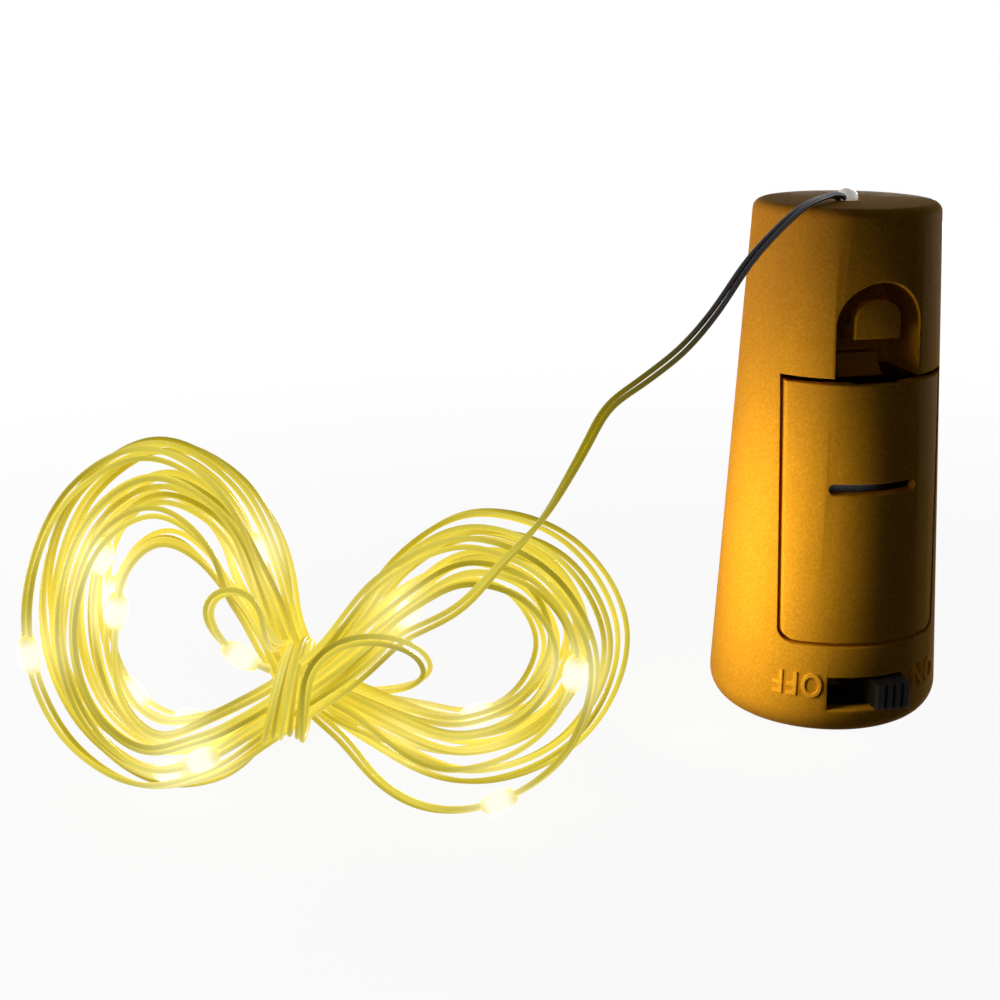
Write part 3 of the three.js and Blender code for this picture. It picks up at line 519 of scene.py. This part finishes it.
def bowPoint(turn):
    along = turn % 1
    line = throughPoints(bowLine, along, True)
    ahead = throughPoints(bowLine, (along + bow["lookAhead"]) % 1, True)
    way = Vector((ahead.x - line.x, ahead.y - line.y)).normalized()
    fromWaist = math.hypot(line.x - bow["waist"][0], line.y - bow["waist"][1])
    drawnIn = 1 - smoothStep(bow["waistPlateau"], bow["waistFade"], fromWaist)
    loose = 1 - drawnIn
    perLayer = bow["turnsPerLayer"]
    layerStart = min(int(turn / perLayer), bow["layers"] - 1)
    inLayer = turn / perLayer - layerStart
    spiral = (inLayer - 0.5 if layerStart % 2 == 0 else 0.5 - inLayer) * perLayer
    layer = 0
    for climb in range(1, bow["layers"]):
        at = climb * perLayer
        layer += smoothStep(at - bow["climbHalf"], at + bow["climbHalf"], turn)
    sway, waves, phase = bow["layerSway"]
    aside = sway * math.sin(2 * math.pi * (waves * along + phase * layer) + layer)
    aside = spiral * line.z + loose * (aside + swayed(bow["turnSways"], turn))
    for at, reach, spread in bow["slack"]:
        aside += reach * math.exp(-(((turn - at) / spread) ** 2))
    # Turns lie beside each other at the waist, and in rings round each loop's middle.
    across = Vector((way.y, -way.x))
    inLeft = line.x < bow["waist"][0]
    inward = (Vector(bow["leftMiddle"] if inLeft else bow["rightMiddle"]) - line.xy).normalized()
    across = across.lerp(inward if inLeft else -inward, loose).normalized() * aside
    front = -1 if math.cos(2 * math.pi * (along - bow["frontRunAt"])) > 0 else 1
    pitch = mix(bow["loopLayerPitch"], bow["waistLayerPitch"], drawnIn)
    depth = (layer - (bow["layers"] - 1) / 2) * pitch
    depth += front * bow["layers"] / 2 * bow["waistLayerPitch"] * drawnIn
    depth += loose * swayed(bow["depthSways"], turn)
    return Vector(bow["middle"]) + Vector((line.x + across.x, depth, line.y + across.y))


def wrapCorners():
    middle = Vector(bow["middle"])
    corners = [middle + Vector(point) for point in bow["wrapLeadIn"]]
    steps = round(bow["wrapTurns"] * bow["wrapSteps"])
    halfHeight, halfDepth = bow["wrapHalf"]
    for i in range(steps + 1):
        share = i / steps
        angle = math.pi + bow["wrapStart"] + 2 * math.pi * bow["wrapTurns"] * share
        flare = bow["wrapFlare"] * (2 * share - 1) ** 2
        up = math.copysign(abs(math.sin(angle)) ** bow["wrapRound"], math.sin(angle))
        back = math.copysign(abs(math.cos(angle)) ** bow["wrapRound"], math.cos(angle))
        lift = (halfHeight + flare) * up
        across = (0.5 - share) * bow["wrapTurns"] * bow["wrapPitch"] * (1 - bow["wrapFan"] * up)
        x = bow["waist"][0] + across + bow["wrapShear"] * lift
        corners.append(middle + Vector((x, halfDepth * back, bow["waist"][1] + lift)))
    corners += [middle + Vector(point) for point in bow["wrapTail"]]
    return corners


def curveThrough(points):
    found = []
    spans = len(points) - 1
    for i in range(spans):
        steps = max(2, round((points[i + 1] - points[i]).length / bow["curveSpacing"]))
        found += [throughPoints(points, (i + k / steps) / spans) for k in range(steps)]
    return found + [points[-1]]


def evenlySpaced(points, spacing):
    total = sum((after - before).length for before, after in zip(points, points[1:]))
    count = round(total / spacing)
    spacing = total / count
    found = [points[0]]
    carried = 0
    for before, after in zip(points, points[1:]):
        span = (after - before).length
        at = spacing - carried
        while at < span:
            found.append(before.lerp(after, at / span))
            at += spacing
        carried = span - (at - spacing)
    return found[:count] + [points[-1]]


def stringRoute():
    turns = bow["woundTurns"]
    samples = round(turns * bow["samplesPerTurn"])
    wound = [bowPoint(turns * i / samples) for i in range(samples + 1)]
    start, end = wound[0], wound[-1]
    startWay = (wound[1] - start).normalized()
    endWay = (end - wound[-2]).normalized()
    lead = [Vector(point) for point in bow["lead"]]
    lead += [start + startWay * reach for reach in bow["leadJoin"]]
    tie = [end + endWay * reach for reach in bow["tieJoin"]] + wrapCorners()
    path = evenlySpaced(curveThrough(lead) + wound + curveThrough(tie), bow["spacing"])
    for again in range(bow["softening"]):
        eased = [(a + b * 2 + c) / 4 for a, b, c in zip(path, path[1:], path[2:])]
        path = [path[0]] + eased + [path[-1]]
    turn = Matrix.Rotation(math.radians(bow["turned"]), 4, "Z")
    return [turn @ point * mm for point in path]


route = stringRoute()


def onRoute(place):  # the string's nearest point and its direction there
    best = min(range(1, len(route) - 1), key=lambda i: (route[i] - place).length)
    return route[best], (route[best + 1] - route[best - 1]).normalized()


ledNames = sorted(name for name in nodes if name.startswith("led_"))
ledPlaces = [(Vector(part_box(name)[0]) + Vector(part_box(name)[1])) / 2 for name in ledNames]
ledSpots = [onRoute(place) for place in ledPlaces]

twin = {  # places along the string and wave lengths in millimetres
    "radius": 0.22,
    "leadRadius": 0.23,
    "halfSpacing": 0.29,
    "leadHalfSpacing": 0.24,
    "leastSpacing": 1.03,  # times the radius
    "spacingWaves": [(0.25, 9.3, 0), (0.12, 3.7, 0)],
    "twistWaves": [(2.2, 31, 0.6), (1.6, 12.7, 2.1)],
    "twistLength": 26,
    "sides": 7,
    "yellowFrom": 19,
    "yellowTo": 44,
    "brightFrom": 40,
    "brightTo": 58,
    "brightness": 0.6,
    # tones: waves of the painted glow's level along each strand
    "tones": [(0.30, 6.1, 1), (0.22, 2.3, 2)],
    "glowReach": 2.6,
}


def waved(waves, run, shift=1):  # each wave has its reach, its length and its start
    return sum(reach * math.sin(run / length + start * shift) for reach, length, start in waves)


def stringRings():  # middle, side, up and run of each ring
    rings = []
    run = 0
    side = Vector((1, 0, 0))
    for i, point in enumerate(route):
        way = (route[min(i + 1, len(route) - 1)] - route[max(i - 1, 0)]).normalized()
        side = (side - way * side.dot(way)).normalized()
        if i:
            run += (point - route[i - 1]).length / mm
        rings.append((point, side.copy(), way.cross(side), run))
    return rings


# Painted halo: how near a point lies to a light, for the glow painted on the wire
def haloAt(place):
    reach = twin["glowReach"] * mm
    return min(sum(math.exp(-((place - spot).length / reach) ** 2) for spot, way in ledSpots), 1)


def twinWire():
    rings = stringRings()
    points, faces, lit, bright, glow = [], [], [], [], []
    sides = twin["sides"]
    for half in (-1, 1):
        first = len(points)
        for point, side, up, run in rings:
            # lit: share of the lit yellow; the dark lead before it is painted shade
            yellow = smoothStep(twin["yellowFrom"], twin["yellowTo"], run)
            radius = mix(twin["leadRadius"], twin["radius"], yellow) * mm
            spacing = mix(twin["leadHalfSpacing"], twin["halfSpacing"], yellow)
            spacing *= (1 + yellow * waved(twin["spacingWaves"], run)) * mm
            spacing = max(spacing, radius * twin["leastSpacing"]) * half
            twist = waved(twin["twistWaves"], run) + run / twin["twistLength"]
            middle = point + (side * math.cos(twist) + up * math.sin(twist)) * spacing
            middle.z = max(middle.z, radius)
            # tone and bright: level of the painted glow along the bow
            tone = twin["brightness"] + waved(twin["tones"], run, half)
            lit += [yellow] * sides
            bright += [smoothStep(twin["brightFrom"], twin["brightTo"], run) * tone] * sides
            glow += [haloAt(middle)] * sides
            for k in range(sides):
                angle = 2 * math.pi * k / sides
                points.append(middle + (side * math.cos(angle) + up * math.sin(angle)) * radius)
        for i in range(len(rings) - 1):
            for k in range(sides):
                a = first + i * sides + k
                b = first + i * sides + (k + 1) % sides
                faces.append((a, b, b + sides, a + sides))
        last = first + (len(rings) - 1) * sides
        faces.append(tuple(first + k for k in reversed(range(sides))))
        faces.append(tuple(last + k for k in range(sides)))
    mesh = bpy.data.meshes.new("light_string")
    mesh.from_pydata(points, [], faces)
    for name, values in (("lit", lit), ("bright", bright), ("glow", glow)):
        mesh.attributes.new(name, "FLOAT", "POINT").data.foreach_set("value", values)
    piece = bpy.data.objects.new("light_string", mesh)
    bpy.context.scene.collection.objects.link(piece)
    takeUp(piece)
    bpy.ops.object.shade_smooth()
    mesh.materials.append(wire)
    return piece


# Resin drops, modelled once and copied to each light
drop = {
    "radius": 0.92, "length": 3.2, "segments": 20, "rings": 14, "flare": 0.16, "core": (0.35, 0.98),
}


def ledDrop():
    clearSelection()
    bpy.ops.mesh.primitive_uv_sphere_add(
        segments=drop["segments"], ring_count=drop["rings"], radius=1)
    piece = bpy.context.object
    halfLength = drop["length"] / 2
    core = []
    for vertex in piece.data.vertices:
        x, y, z = vertex.co
        width = drop["radius"] * (1 + drop["flare"] * abs(z) ** 3)
        vertex.co = Vector((x * width, y * width, z * halfLength)) * mm
        core.append(1 - smoothStep(*drop["core"], abs(vertex.co.z) / (halfLength * mm)))
    bpy.ops.object.shade_smooth()
    piece.data.attributes.new("core", "FLOAT", "POINT").data.foreach_set("value", core)
    piece.data.materials.append(resin)
    return piece


def allLeds():
    pattern = ledDrop()
    made = []
    for name, (middle, way) in zip(ledNames, ledSpots):
        piece = pattern.copy()
        piece.data = pattern.data.copy()
        piece.name = name.replace("led", "resin_drop")
        bpy.context.scene.collection.objects.link(piece)
        piece.data.transform(way.to_track_quat("Z", "Y").to_matrix().to_4x4())
        lowest = min(vertex.co.z for vertex in piece.data.vertices)  # kept above the floor
        lifted = (middle.x, middle.y, max(middle.z, -lowest))
        piece.data.transform(Matrix.Translation(lifted))
        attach(piece, "pack")
        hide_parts(name)
        made.append(piece)
    bpy.data.objects.remove(pattern)
    return made


lightString = twinWire()
leds = allLeds()
stringLength = sum((b - a).length for a, b in zip(route, route[1:]))
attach(lightString, "pack")
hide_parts("string_lead", "string_hank", "hank_wrap")
print("string:", round(stringLength, 3), "m,", len(leds), "lights")


# Modelling helpers, in millimetres
def applyPlace():
    bpy.ops.object.transform_apply(location=True, rotation=True, scale=True)
    return bpy.context.object


def block(low, high):
    clearSelection()
    bpy.ops.mesh.primitive_cube_add(size=1, location=[(a + b) / 2 * mm for a, b in zip(low, high)])
    bpy.context.object.scale = [(b - a) * mm for a, b in zip(low, high)]
    return applyPlace()


def post(radius, low, high, sides=64, topRadius=None):
    clearSelection()
    bpy.ops.mesh.primitive_cone_add(
        vertices=sides, radius1=radius * mm, radius2=(topRadius or radius) * mm,
        depth=(high - low) * mm, location=(0, 0, (low + high) / 2 * mm))
    return applyPlace()


def tubeAlongX(radius, half, y, z, sides=48):
    clearSelection()
    bpy.ops.mesh.primitive_cylinder_add(
        vertices=sides, radius=radius * mm, depth=2 * half * mm,
        location=(0, y * mm, z * mm), rotation=(0, math.pi / 2, 0))
    return applyPlace()


def combine(piece, other, way="DIFFERENCE"):
    takeUp(piece)
    step = piece.modifiers.new("combine", "BOOLEAN")
    step.operation = way
    step.solver = "EXACT"
    step.object = other
    bpy.ops.object.modifier_apply(modifier=step.name)
    bpy.data.objects.remove(other)
    return piece


def pickEdges(piece, test, sharpOver=None):
    takeUp(piece)
    bpy.context.tool_settings.mesh_select_mode = (False, True, False)
    bpy.ops.object.mode_set(mode="EDIT")
    bpy.ops.mesh.select_all(action="SELECT" if sharpOver is None else "DESELECT")
    if sharpOver is not None:
        bpy.ops.mesh.edges_select_sharp(sharpness=math.radians(sharpOver))
    bpy.ops.object.mode_set(mode="OBJECT")
    points = piece.data.vertices
    picked = [edge.select for edge in piece.data.edges]
    for polygon in piece.data.polygons:
        polygon.select = False
    for point in points:
        point.select = False
    for edge, chosen in zip(piece.data.edges, picked):
        edge.select = chosen and test(*[points[i].co / mm for i in edge.vertices])
    bpy.ops.object.mode_set(mode="EDIT")


def roundEdges(piece, test, radius, steps=edgeSteps, sharpOver=None):
    pickEdges(piece, test, sharpOver)
    bpy.ops.mesh.bevel(offset=radius * mm, segments=steps, profile=0.5, affect="EDGES")
    bpy.ops.object.mode_set(mode="OBJECT")
    return piece


def roundedBlock(low, high, radius, ends, steps=8):
    piece = block(low, high)
    heights = [height for end, height in (("bottom", low[2]), ("top", high[2])) if end in ends]

    def corner(a, b):
        level = any(abs(a.z - height) + abs(b.z - height) < touch for height in heights)
        return abs(a.x - b.x) < touch and level
    return roundEdges(piece, corner, radius, steps)


def finishPiece(piece, name, body, material, replaced, smoothUnder=sharpAngle):
    takeUp(piece)
    piece.name = name
    piece.data.name = name
    piece.data.materials.clear()
    piece.data.materials.append(material)
    bpy.ops.object.shade_smooth_by_angle(angle=math.radians(smoothUnder))
    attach(piece, body)
    if replaced:
        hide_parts(replaced)
    return piece


# Cork-shaped body
cork = {
    "height": 45.4,
    "wideRadius": 10.25,
    "narrowRadius": 7.9,
    "wideFillet": (2.8, 10),  # radius and steps
    "narrowFillet": (0.8, 6),
    "sides": 90,
    "wall": 1.2,
    "roof": 1.4,
    "cavityFloor": 1.8,
    "exitRadius": 1.25,
    "exitFrom": 40,
    "exitSides": 40,
    "capSeat": (6.9, 1.3),
    "stepSeat": (6.1, 2.1),
    "rim": 0.16,
    "skinNear": 0.03,
    "sunk": 0.25,  # inner walls stay this far below the skin
    "cutBack": -0.3,
    "far": 20,
}
window = {"half": 7.25, "low": 8.4, "high": 31.55, "corner": 1.2}
arch = {
    "half": 3.7, "low": 30.0, "high": 39.5, "back": -1.9, "wall": 0.8, "trimBack": 5,
    "round": 0.999, "steps": 14,
}
switchSlot = {"half": 3.55, "low": 2.7, "high": 5.6}
bay = {
    "radius": 6.1, "outer": 6.9, "low": 7.1, "floor": 8.1, "ceiling": 28.85, "high": 29.75,
    "seat": 1.5, "tailSlot": (1.2, 4.1, 5.0), "wireSlot": (0.75, 5.8),
}
cradle = {"inner": 5.0, "outer": 6.0, "low": 1.7, "high": 6.5, "back": -3.5}


def coneRadius(z):
    return cork["wideRadius"] + (cork["narrowRadius"] - cork["wideRadius"]) * z / cork["height"]


def cone(inset, low, high):
    return post(coneRadius(low) - inset, low, high, cork["sides"], coneRadius(high) - inset)


def corkSolid(inset=0.0):
    piece = cone(inset, 0, cork["height"])
    ends = ((0, cork["wideFillet"]), (cork["height"], cork["narrowFillet"]))
    for height, (fillet, steps) in ends:
        roundEdges(piece, lambda a, b: abs(a.z - height) + abs(b.z - height) < touch, fillet, steps)
    return piece


def withinSkin(piece):
    return combine(piece, corkSolid(cork["sunk"]), "INTERSECT")


def shifted(piece, y):
    piece.data.transform(Matrix.Translation((0, y * mm, 0)))
    return piece


def onSkin(*ends):
    return all(abs(math.hypot(p.x, p.y) - coneRadius(p.z)) < cork["skinNear"] for p in ends)


def archBlock(grow, front, back):
    half = arch["half"] + grow
    return roundedBlock((-half, front, arch["low"]), (half, back, arch["high"] + grow),
                        half * arch["round"], "top", arch["steps"])


def windowBlock(settings):
    half = settings["half"]
    return roundedBlock((-half, -cork["far"], settings["low"]),
                        (half, cork["cutBack"], settings["high"]), settings["corner"], "bottom")


def batteryBay():
    far = cork["far"]
    radius, outer = bay["radius"], bay["outer"]
    piece = block((-outer, -far, bay["low"]), (outer, 0, bay["high"]))
    combine(piece, post(outer, bay["low"], bay["high"]), "UNION")
    combine(piece, post(far, bay["low"], bay["floor"]), "UNION")
    combine(piece, post(far, bay["ceiling"], bay["high"]), "UNION")
    combine(piece, block((-radius, -far - past, bay["floor"]), (radius, 0, bay["ceiling"])))
    combine(piece, post(radius, bay["floor"], bay["ceiling"]))
    half, front, back = bay["tailSlot"]
    combine(piece, block((-half, front, 0), (half, back, cork["height"])))
    half, front = bay["wireSlot"]
    combine(piece, block((-half, front, 0), (half, far + past, cork["height"])))
    combine(piece, shifted(corkSolid(), bay["seat"]), "INTERSECT")
    return withinSkin(piece)


def latchPocket():
    far = cork["far"]
    piece = archBlock(arch["wall"], -far, arch["back"] + arch["wall"])
    combine(piece, archBlock(0, -far - past, arch["back"]))
    combine(piece, block((-far, -far - past, 0), (far, arch["trimBack"], window["high"])))
    return withinSkin(piece)


def corkBody():
    far = cork["far"]
    piece = corkSolid()
    combine(piece, cone(cork["wall"], cork["cavityFloor"], cork["height"] - cork["roof"]))
    for radius, depth in (cork["capSeat"], cork["stepSeat"]):
        combine(piece, post(radius, -past, depth))
    combine(piece, windowBlock(window))
    combine(piece, archBlock(0, -far, arch["back"]))
    half, low, high = switchSlot["half"], switchSlot["low"], switchSlot["high"]
    combine(piece, block((-half, -far, low), (half, cork["cutBack"], high)))
    combine(piece, batteryBay(), "UNION")
    combine(piece, latchPocket(), "UNION")
    for side in (-1, 1):
        low, high = sorted((side * cradle["inner"], side * cradle["outer"]))
        wing = block((low, -far, cradle["low"]), (high, cradle["back"], cradle["high"]))
        combine(piece, withinSkin(wing), "UNION")
    top = cork["height"] + past
    combine(piece, post(cork["exitRadius"], cork["exitFrom"], top, cork["exitSides"]))
    roundEdges(piece, onSkin, cork["rim"], sharpOver=sharpAngle)
    return finishPiece(piece, "cork_body", "pack", gold, "housing")


# Battery cover with its slit, tabs and the root of the latch
panel = {
    "half": 6.95, "low": 8.7, "high": 31.1, "corner": 0.9, "thickness": 1.2, "rim": 0.16,
}
slit = {"half": 3.9, "height": 22.2, "width": 0.9, "round": 0.99, "steps": 5}
tab = {
    "x": 4.5, "half": 1.2, "reach": 1.5, "root": 1.4, "behind": 1.5, "thickness": 0.9,
    "outerStop": 2, "innerStop": 1,  # of the cones that shape it, from the pack's ends
}
latch = {
    "half": 2.05, "strip": 1.0, "inner": 1.8, "y": -5.0, "z": 32.9, "split": 0.15, "overlap": 0.3,
    "padFront": -7.42, "padTop": 37.9, "padRound": 0.86, "padSteps": 12, "padRim": 0.14,
    "keepHalf": 9, "keepTop": 60,
}


def latchStrip(low, high):  # the part of the curved strip between two heights
    half, wide = latch["half"], latch["keepHalf"]
    outer = latch["inner"] + latch["strip"]
    piece = tubeAlongX(outer, half, latch["y"], latch["z"])
    combine(piece, tubeAlongX(latch["inner"], half + past, latch["y"], latch["z"]))
    return combine(piece, block((-wide, latch["y"], low), (wide, wide, high)), "INTERSECT")


def latchRoot():
    half = latch["half"]
    piece = latchStrip(0, latch["z"] - latch["split"])
    front = -coneRadius(panel["high"]) + panel["thickness"] / 2
    low = latch["z"] - latch["inner"] - latch["strip"]
    foot = block((-half, front, low), (half, latch["y"], low + latch["strip"]))
    return combine(piece, foot, "UNION")


def coverTab(side):
    x, half, height = tab["x"] * side, tab["half"], cork["height"]
    piece = block((x - half, -cork["far"], panel["low"] - tab["reach"]),
                  (x + half, 0, panel["low"] + tab["root"]))
    outer, inner = tab["outerStop"], tab["innerStop"]
    combine(piece, cone(tab["behind"], outer, height - outer), "INTERSECT")
    return combine(piece, cone(tab["behind"] + tab["thickness"], inner, height - inner))


def coverPanel():
    piece = corkSolid()
    combine(piece, windowBlock(panel), "INTERSECT")
    combine(piece, shifted(corkSolid(), panel["thickness"]))
    half, halfWidth = slit["half"], slit["width"] / 2
    low, high = slit["height"] - halfWidth, slit["height"] + halfWidth
    combine(piece, roundedBlock((-half, -cork["far"], low), (half, 0, high),
                                halfWidth * slit["round"], "bottom top", slit["steps"]))
    roundEdges(piece, onSkin, panel["rim"], sharpOver=sharpAngle)
    combine(piece, latchRoot(), "UNION")
    for side in (-1, 1):
        combine(piece, coverTab(side), "UNION")
    return finishPiece(piece, "cover_panel", "cover", gold, "battery_cover")


def latchFinger():
    half, y, strip = latch["half"], latch["y"], latch["strip"]
    piece = latchStrip(latch["z"] + latch["split"], latch["keepTop"])
    back = latch["padFront"] + strip
    low = latch["z"] + latch["inner"]
    combine(piece, block((-half, back - latch["overlap"], low), (half, y, low + strip)), "UNION")
    pad = roundedBlock((-half, latch["padFront"], low), (half, back, latch["padTop"]),
                       half * latch["padRound"], "top", latch["padSteps"])
    combine(piece, pad, "UNION")
    front = back - strip / 2
    roundEdges(piece, lambda *ends: all(p.y < front for p in ends), latch["padRim"],
               sharpOver=sharpAngle)
    return finishPiece(piece, "latch_finger", "latch", gold, "cover_latch")


# Switch knob with its grip grooves and the flange behind the slot
knob = {
    "x": 1.75, "half": 1.5, "low": 3.0, "high": 5.3, "front": -11.235, "back": -6.35,
    "groove": 0.3, "frontNear": 0.05, "edge": 0.1,
    "flangeHalf": 2.2, "flangeLow": 2.8, "flangeHigh": 5.5, "flangeDepth": 1,
}


def switchKnob():
    x, half, groove = knob["x"], knob["half"], knob["groove"]
    front, back = knob["front"], knob["back"]
    piece = block((x - half, front, knob["low"]), (x + half, back, knob["high"]))
    for step in (-1, 0, 1):
        middle = x + step * half / 2
        combine(piece, block((middle - groove / 2, front - past, knob["low"] - past),
                             (middle + groove / 2, front + groove, knob["high"] + past)))
    near = front + knob["frontNear"]
    roundEdges(piece, lambda *ends: all(p.y < near for p in ends), knob["edge"],
               sharpOver=sharpAngle)
    wide = knob["flangeHalf"]
    flange = block((x - wide, back, knob["flangeLow"]),
                   (x + wide, back + knob["flangeDepth"], knob["flangeHigh"]))
    combine(piece, flange, "UNION")
    return finishPiece(piece, "switch_knob", "slider", black, "switch_slider")


# Cap in the wide end
cap = {
    "radius": 6.6, "plate": 1.0, "stepRadius": 5.8, "step": 0.6, "edge": 0.25, "dish": (5.2, 0.35),
    "sides": 80,
}


def endCap():
    plate, sides = cap["plate"], cap["sides"]
    piece = post(cap["radius"], 0, plate, sides)
    combine(piece, post(cap["stepRadius"], plate / 2, plate + cap["step"], sides), "UNION")
    radius, depth = cap["dish"]
    combine(piece, post(radius, -past, depth, sides))
    roundEdges(piece, lambda *ends: all(p.z < touch for p in ends), cap["edge"],
               sharpOver=sharpAngle)
    return finishPiece(piece, "end_cap", "pack", gold, "base_cap")


# Button cells: steel can with a rolled rim, and the smaller cap below it
cell = {
    "radius": 5.8, "height": 5.4, "capRadius": 5.1, "capDepth": 2, "rim": 0.7, "count": 3,
    "topEdge": (0.4, 4), "rimEdge": 0.2, "capEdge": 0.25, "sides": 72,
}


def buttonCell(number):
    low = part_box(f"cell_{number}")[0][2] / mm
    high = low + cell["height"]
    rim = low + cell["rim"]
    piece = post(cell["radius"], rim, high, cell["sides"])
    roundEdges(piece, lambda *ends: all(p.z > high - touch for p in ends), *cell["topEdge"])
    roundEdges(piece, lambda *ends: all(p.z < rim + touch for p in ends), cell["rimEdge"])
    lower = post(cell["capRadius"], low, low + cell["capDepth"], cell["sides"])
    roundEdges(lower, lambda *ends: all(p.z < low + touch for p in ends), cell["capEdge"])
    combine(piece, lower, "UNION")
    name = f"cell_{number}"
    return finishPiece(piece, f"button_{name}", "pack", steel, name)


# Drop of hot-melt glue round the wire at the exit
dab = {
    "radius": 1.02, "height": 1.0, "middle": (-0.08, -0.1), "foot": 44.2, "lean": (0.125, 0.175),
    "lobes": (0.07, 3, 1.1),  # reach, number and start
    "ripple": (0.05, 5, 3),  # reach, and waves across and up
    "segments": 32, "rings": 20, "smoothUnder": 80,
}


def glueDab():
    clearSelection()
    bpy.ops.mesh.primitive_uv_sphere_add(
        segments=dab["segments"], ring_count=dab["rings"], radius=1)
    piece = bpy.context.object
    middleX, middleY = dab["middle"]
    leanX, leanY = dab["lean"]
    lobeReach, lobeCount, lobeStart = dab["lobes"]
    rippleReach, wavesAcross, wavesUp = dab["ripple"]
    for point in piece.data.vertices:
        x, y, z = point.co
        lobes = lobeReach * math.sin(lobeCount * math.atan2(y, x) + lobeStart) * (1 - abs(z))
        wobble = 1 + lobes + rippleReach * math.sin(wavesAcross * x + wavesUp * z)
        tall = dab["height"] if z > 0 else cork["height"] - dab["foot"]
        point.co = Vector((
            middleX + x * dab["radius"] * wobble - max(z, 0) * leanX,
            middleY + y * dab["radius"] * wobble - max(z, 0) * leanY,
            cork["height"] + z * tall)) * mm
    return finishPiece(piece, "glue_dab", "pack", glue, "exit_glue", dab["smoothUnder"])


# Raised words beside the switch, upside down when the pack stands on its wide end
words = {
    "letterHeight": 2.15, "capShare": 0.72, "narrow": 0.76, "spacing": 1.18, "middle": 5.0,
    "proud": 0.11, "edge": 0.05, "curveSteps": 6,
    "angles": {"OFF": -36.1, "ON": 37},  # degrees round the pack
}


def raisedWord(word):
    clearSelection()
    bpy.ops.object.text_add()
    piece = bpy.context.object
    piece.data.body = word
    piece.data.align_x = "CENTER"
    piece.data.align_y = "CENTER"
    piece.data.size = words["letterHeight"] / words["capShare"] * mm
    piece.data.extrude = words["proud"] * mm
    piece.data.space_character = words["spacing"]
    piece.data.bevel_depth = words["edge"] * mm
    piece.data.resolution_u = words["curveSteps"]
    takeUp(piece)
    bpy.ops.object.convert(target="MESH")
    for point in piece.data.vertices:
        across, up, out = (value / mm for value in point.co)
        z = words["middle"] - up
        angle = math.radians(words["angles"][word]) - across * words["narrow"] / coneRadius(z)
        radius = coneRadius(z) + out
        point.co = Vector((radius * math.sin(angle), -radius * math.cos(angle), z)) * mm
    # The words take the paler gold: a painted highlight of their lit edges
    return finishPiece(piece, f"word_{word.lower()}", "pack", paintedLitGold, None)


corkBody()
coverPanel()
latchFinger()
switchKnob()
endCap()
for number in range(1, cell["count"] + 1):
    buttonCell(number)
glueDab()
for word in words["angles"]:
    raisedWord(word)
print("pack: body, cover, latch, knob, cap, cells, glue and words")


# Finishes of the CAD pieces inside the pack
innerFinishes = {
    # The switch can is black, a dark stand-in for the shade in the switch slot: painted shade
    "switch_can": black, "series_resistor": black, "negative_spring": steel, "switch_wafer": board,
    "switch_board": board, "lead_spring": wire, "lead_return": wire, "lead_positive": wire,
}
for name in ("negative_plate", "positive_contact", "switch_wiper",
             "switch_terminal_1", "switch_terminal_2", "switch_terminal_3"):
    innerFinishes[name] = brass
for name, material in innerFinishes.items():
    nodes[name].data.materials.clear()
    nodes[name].data.materials.append(material)
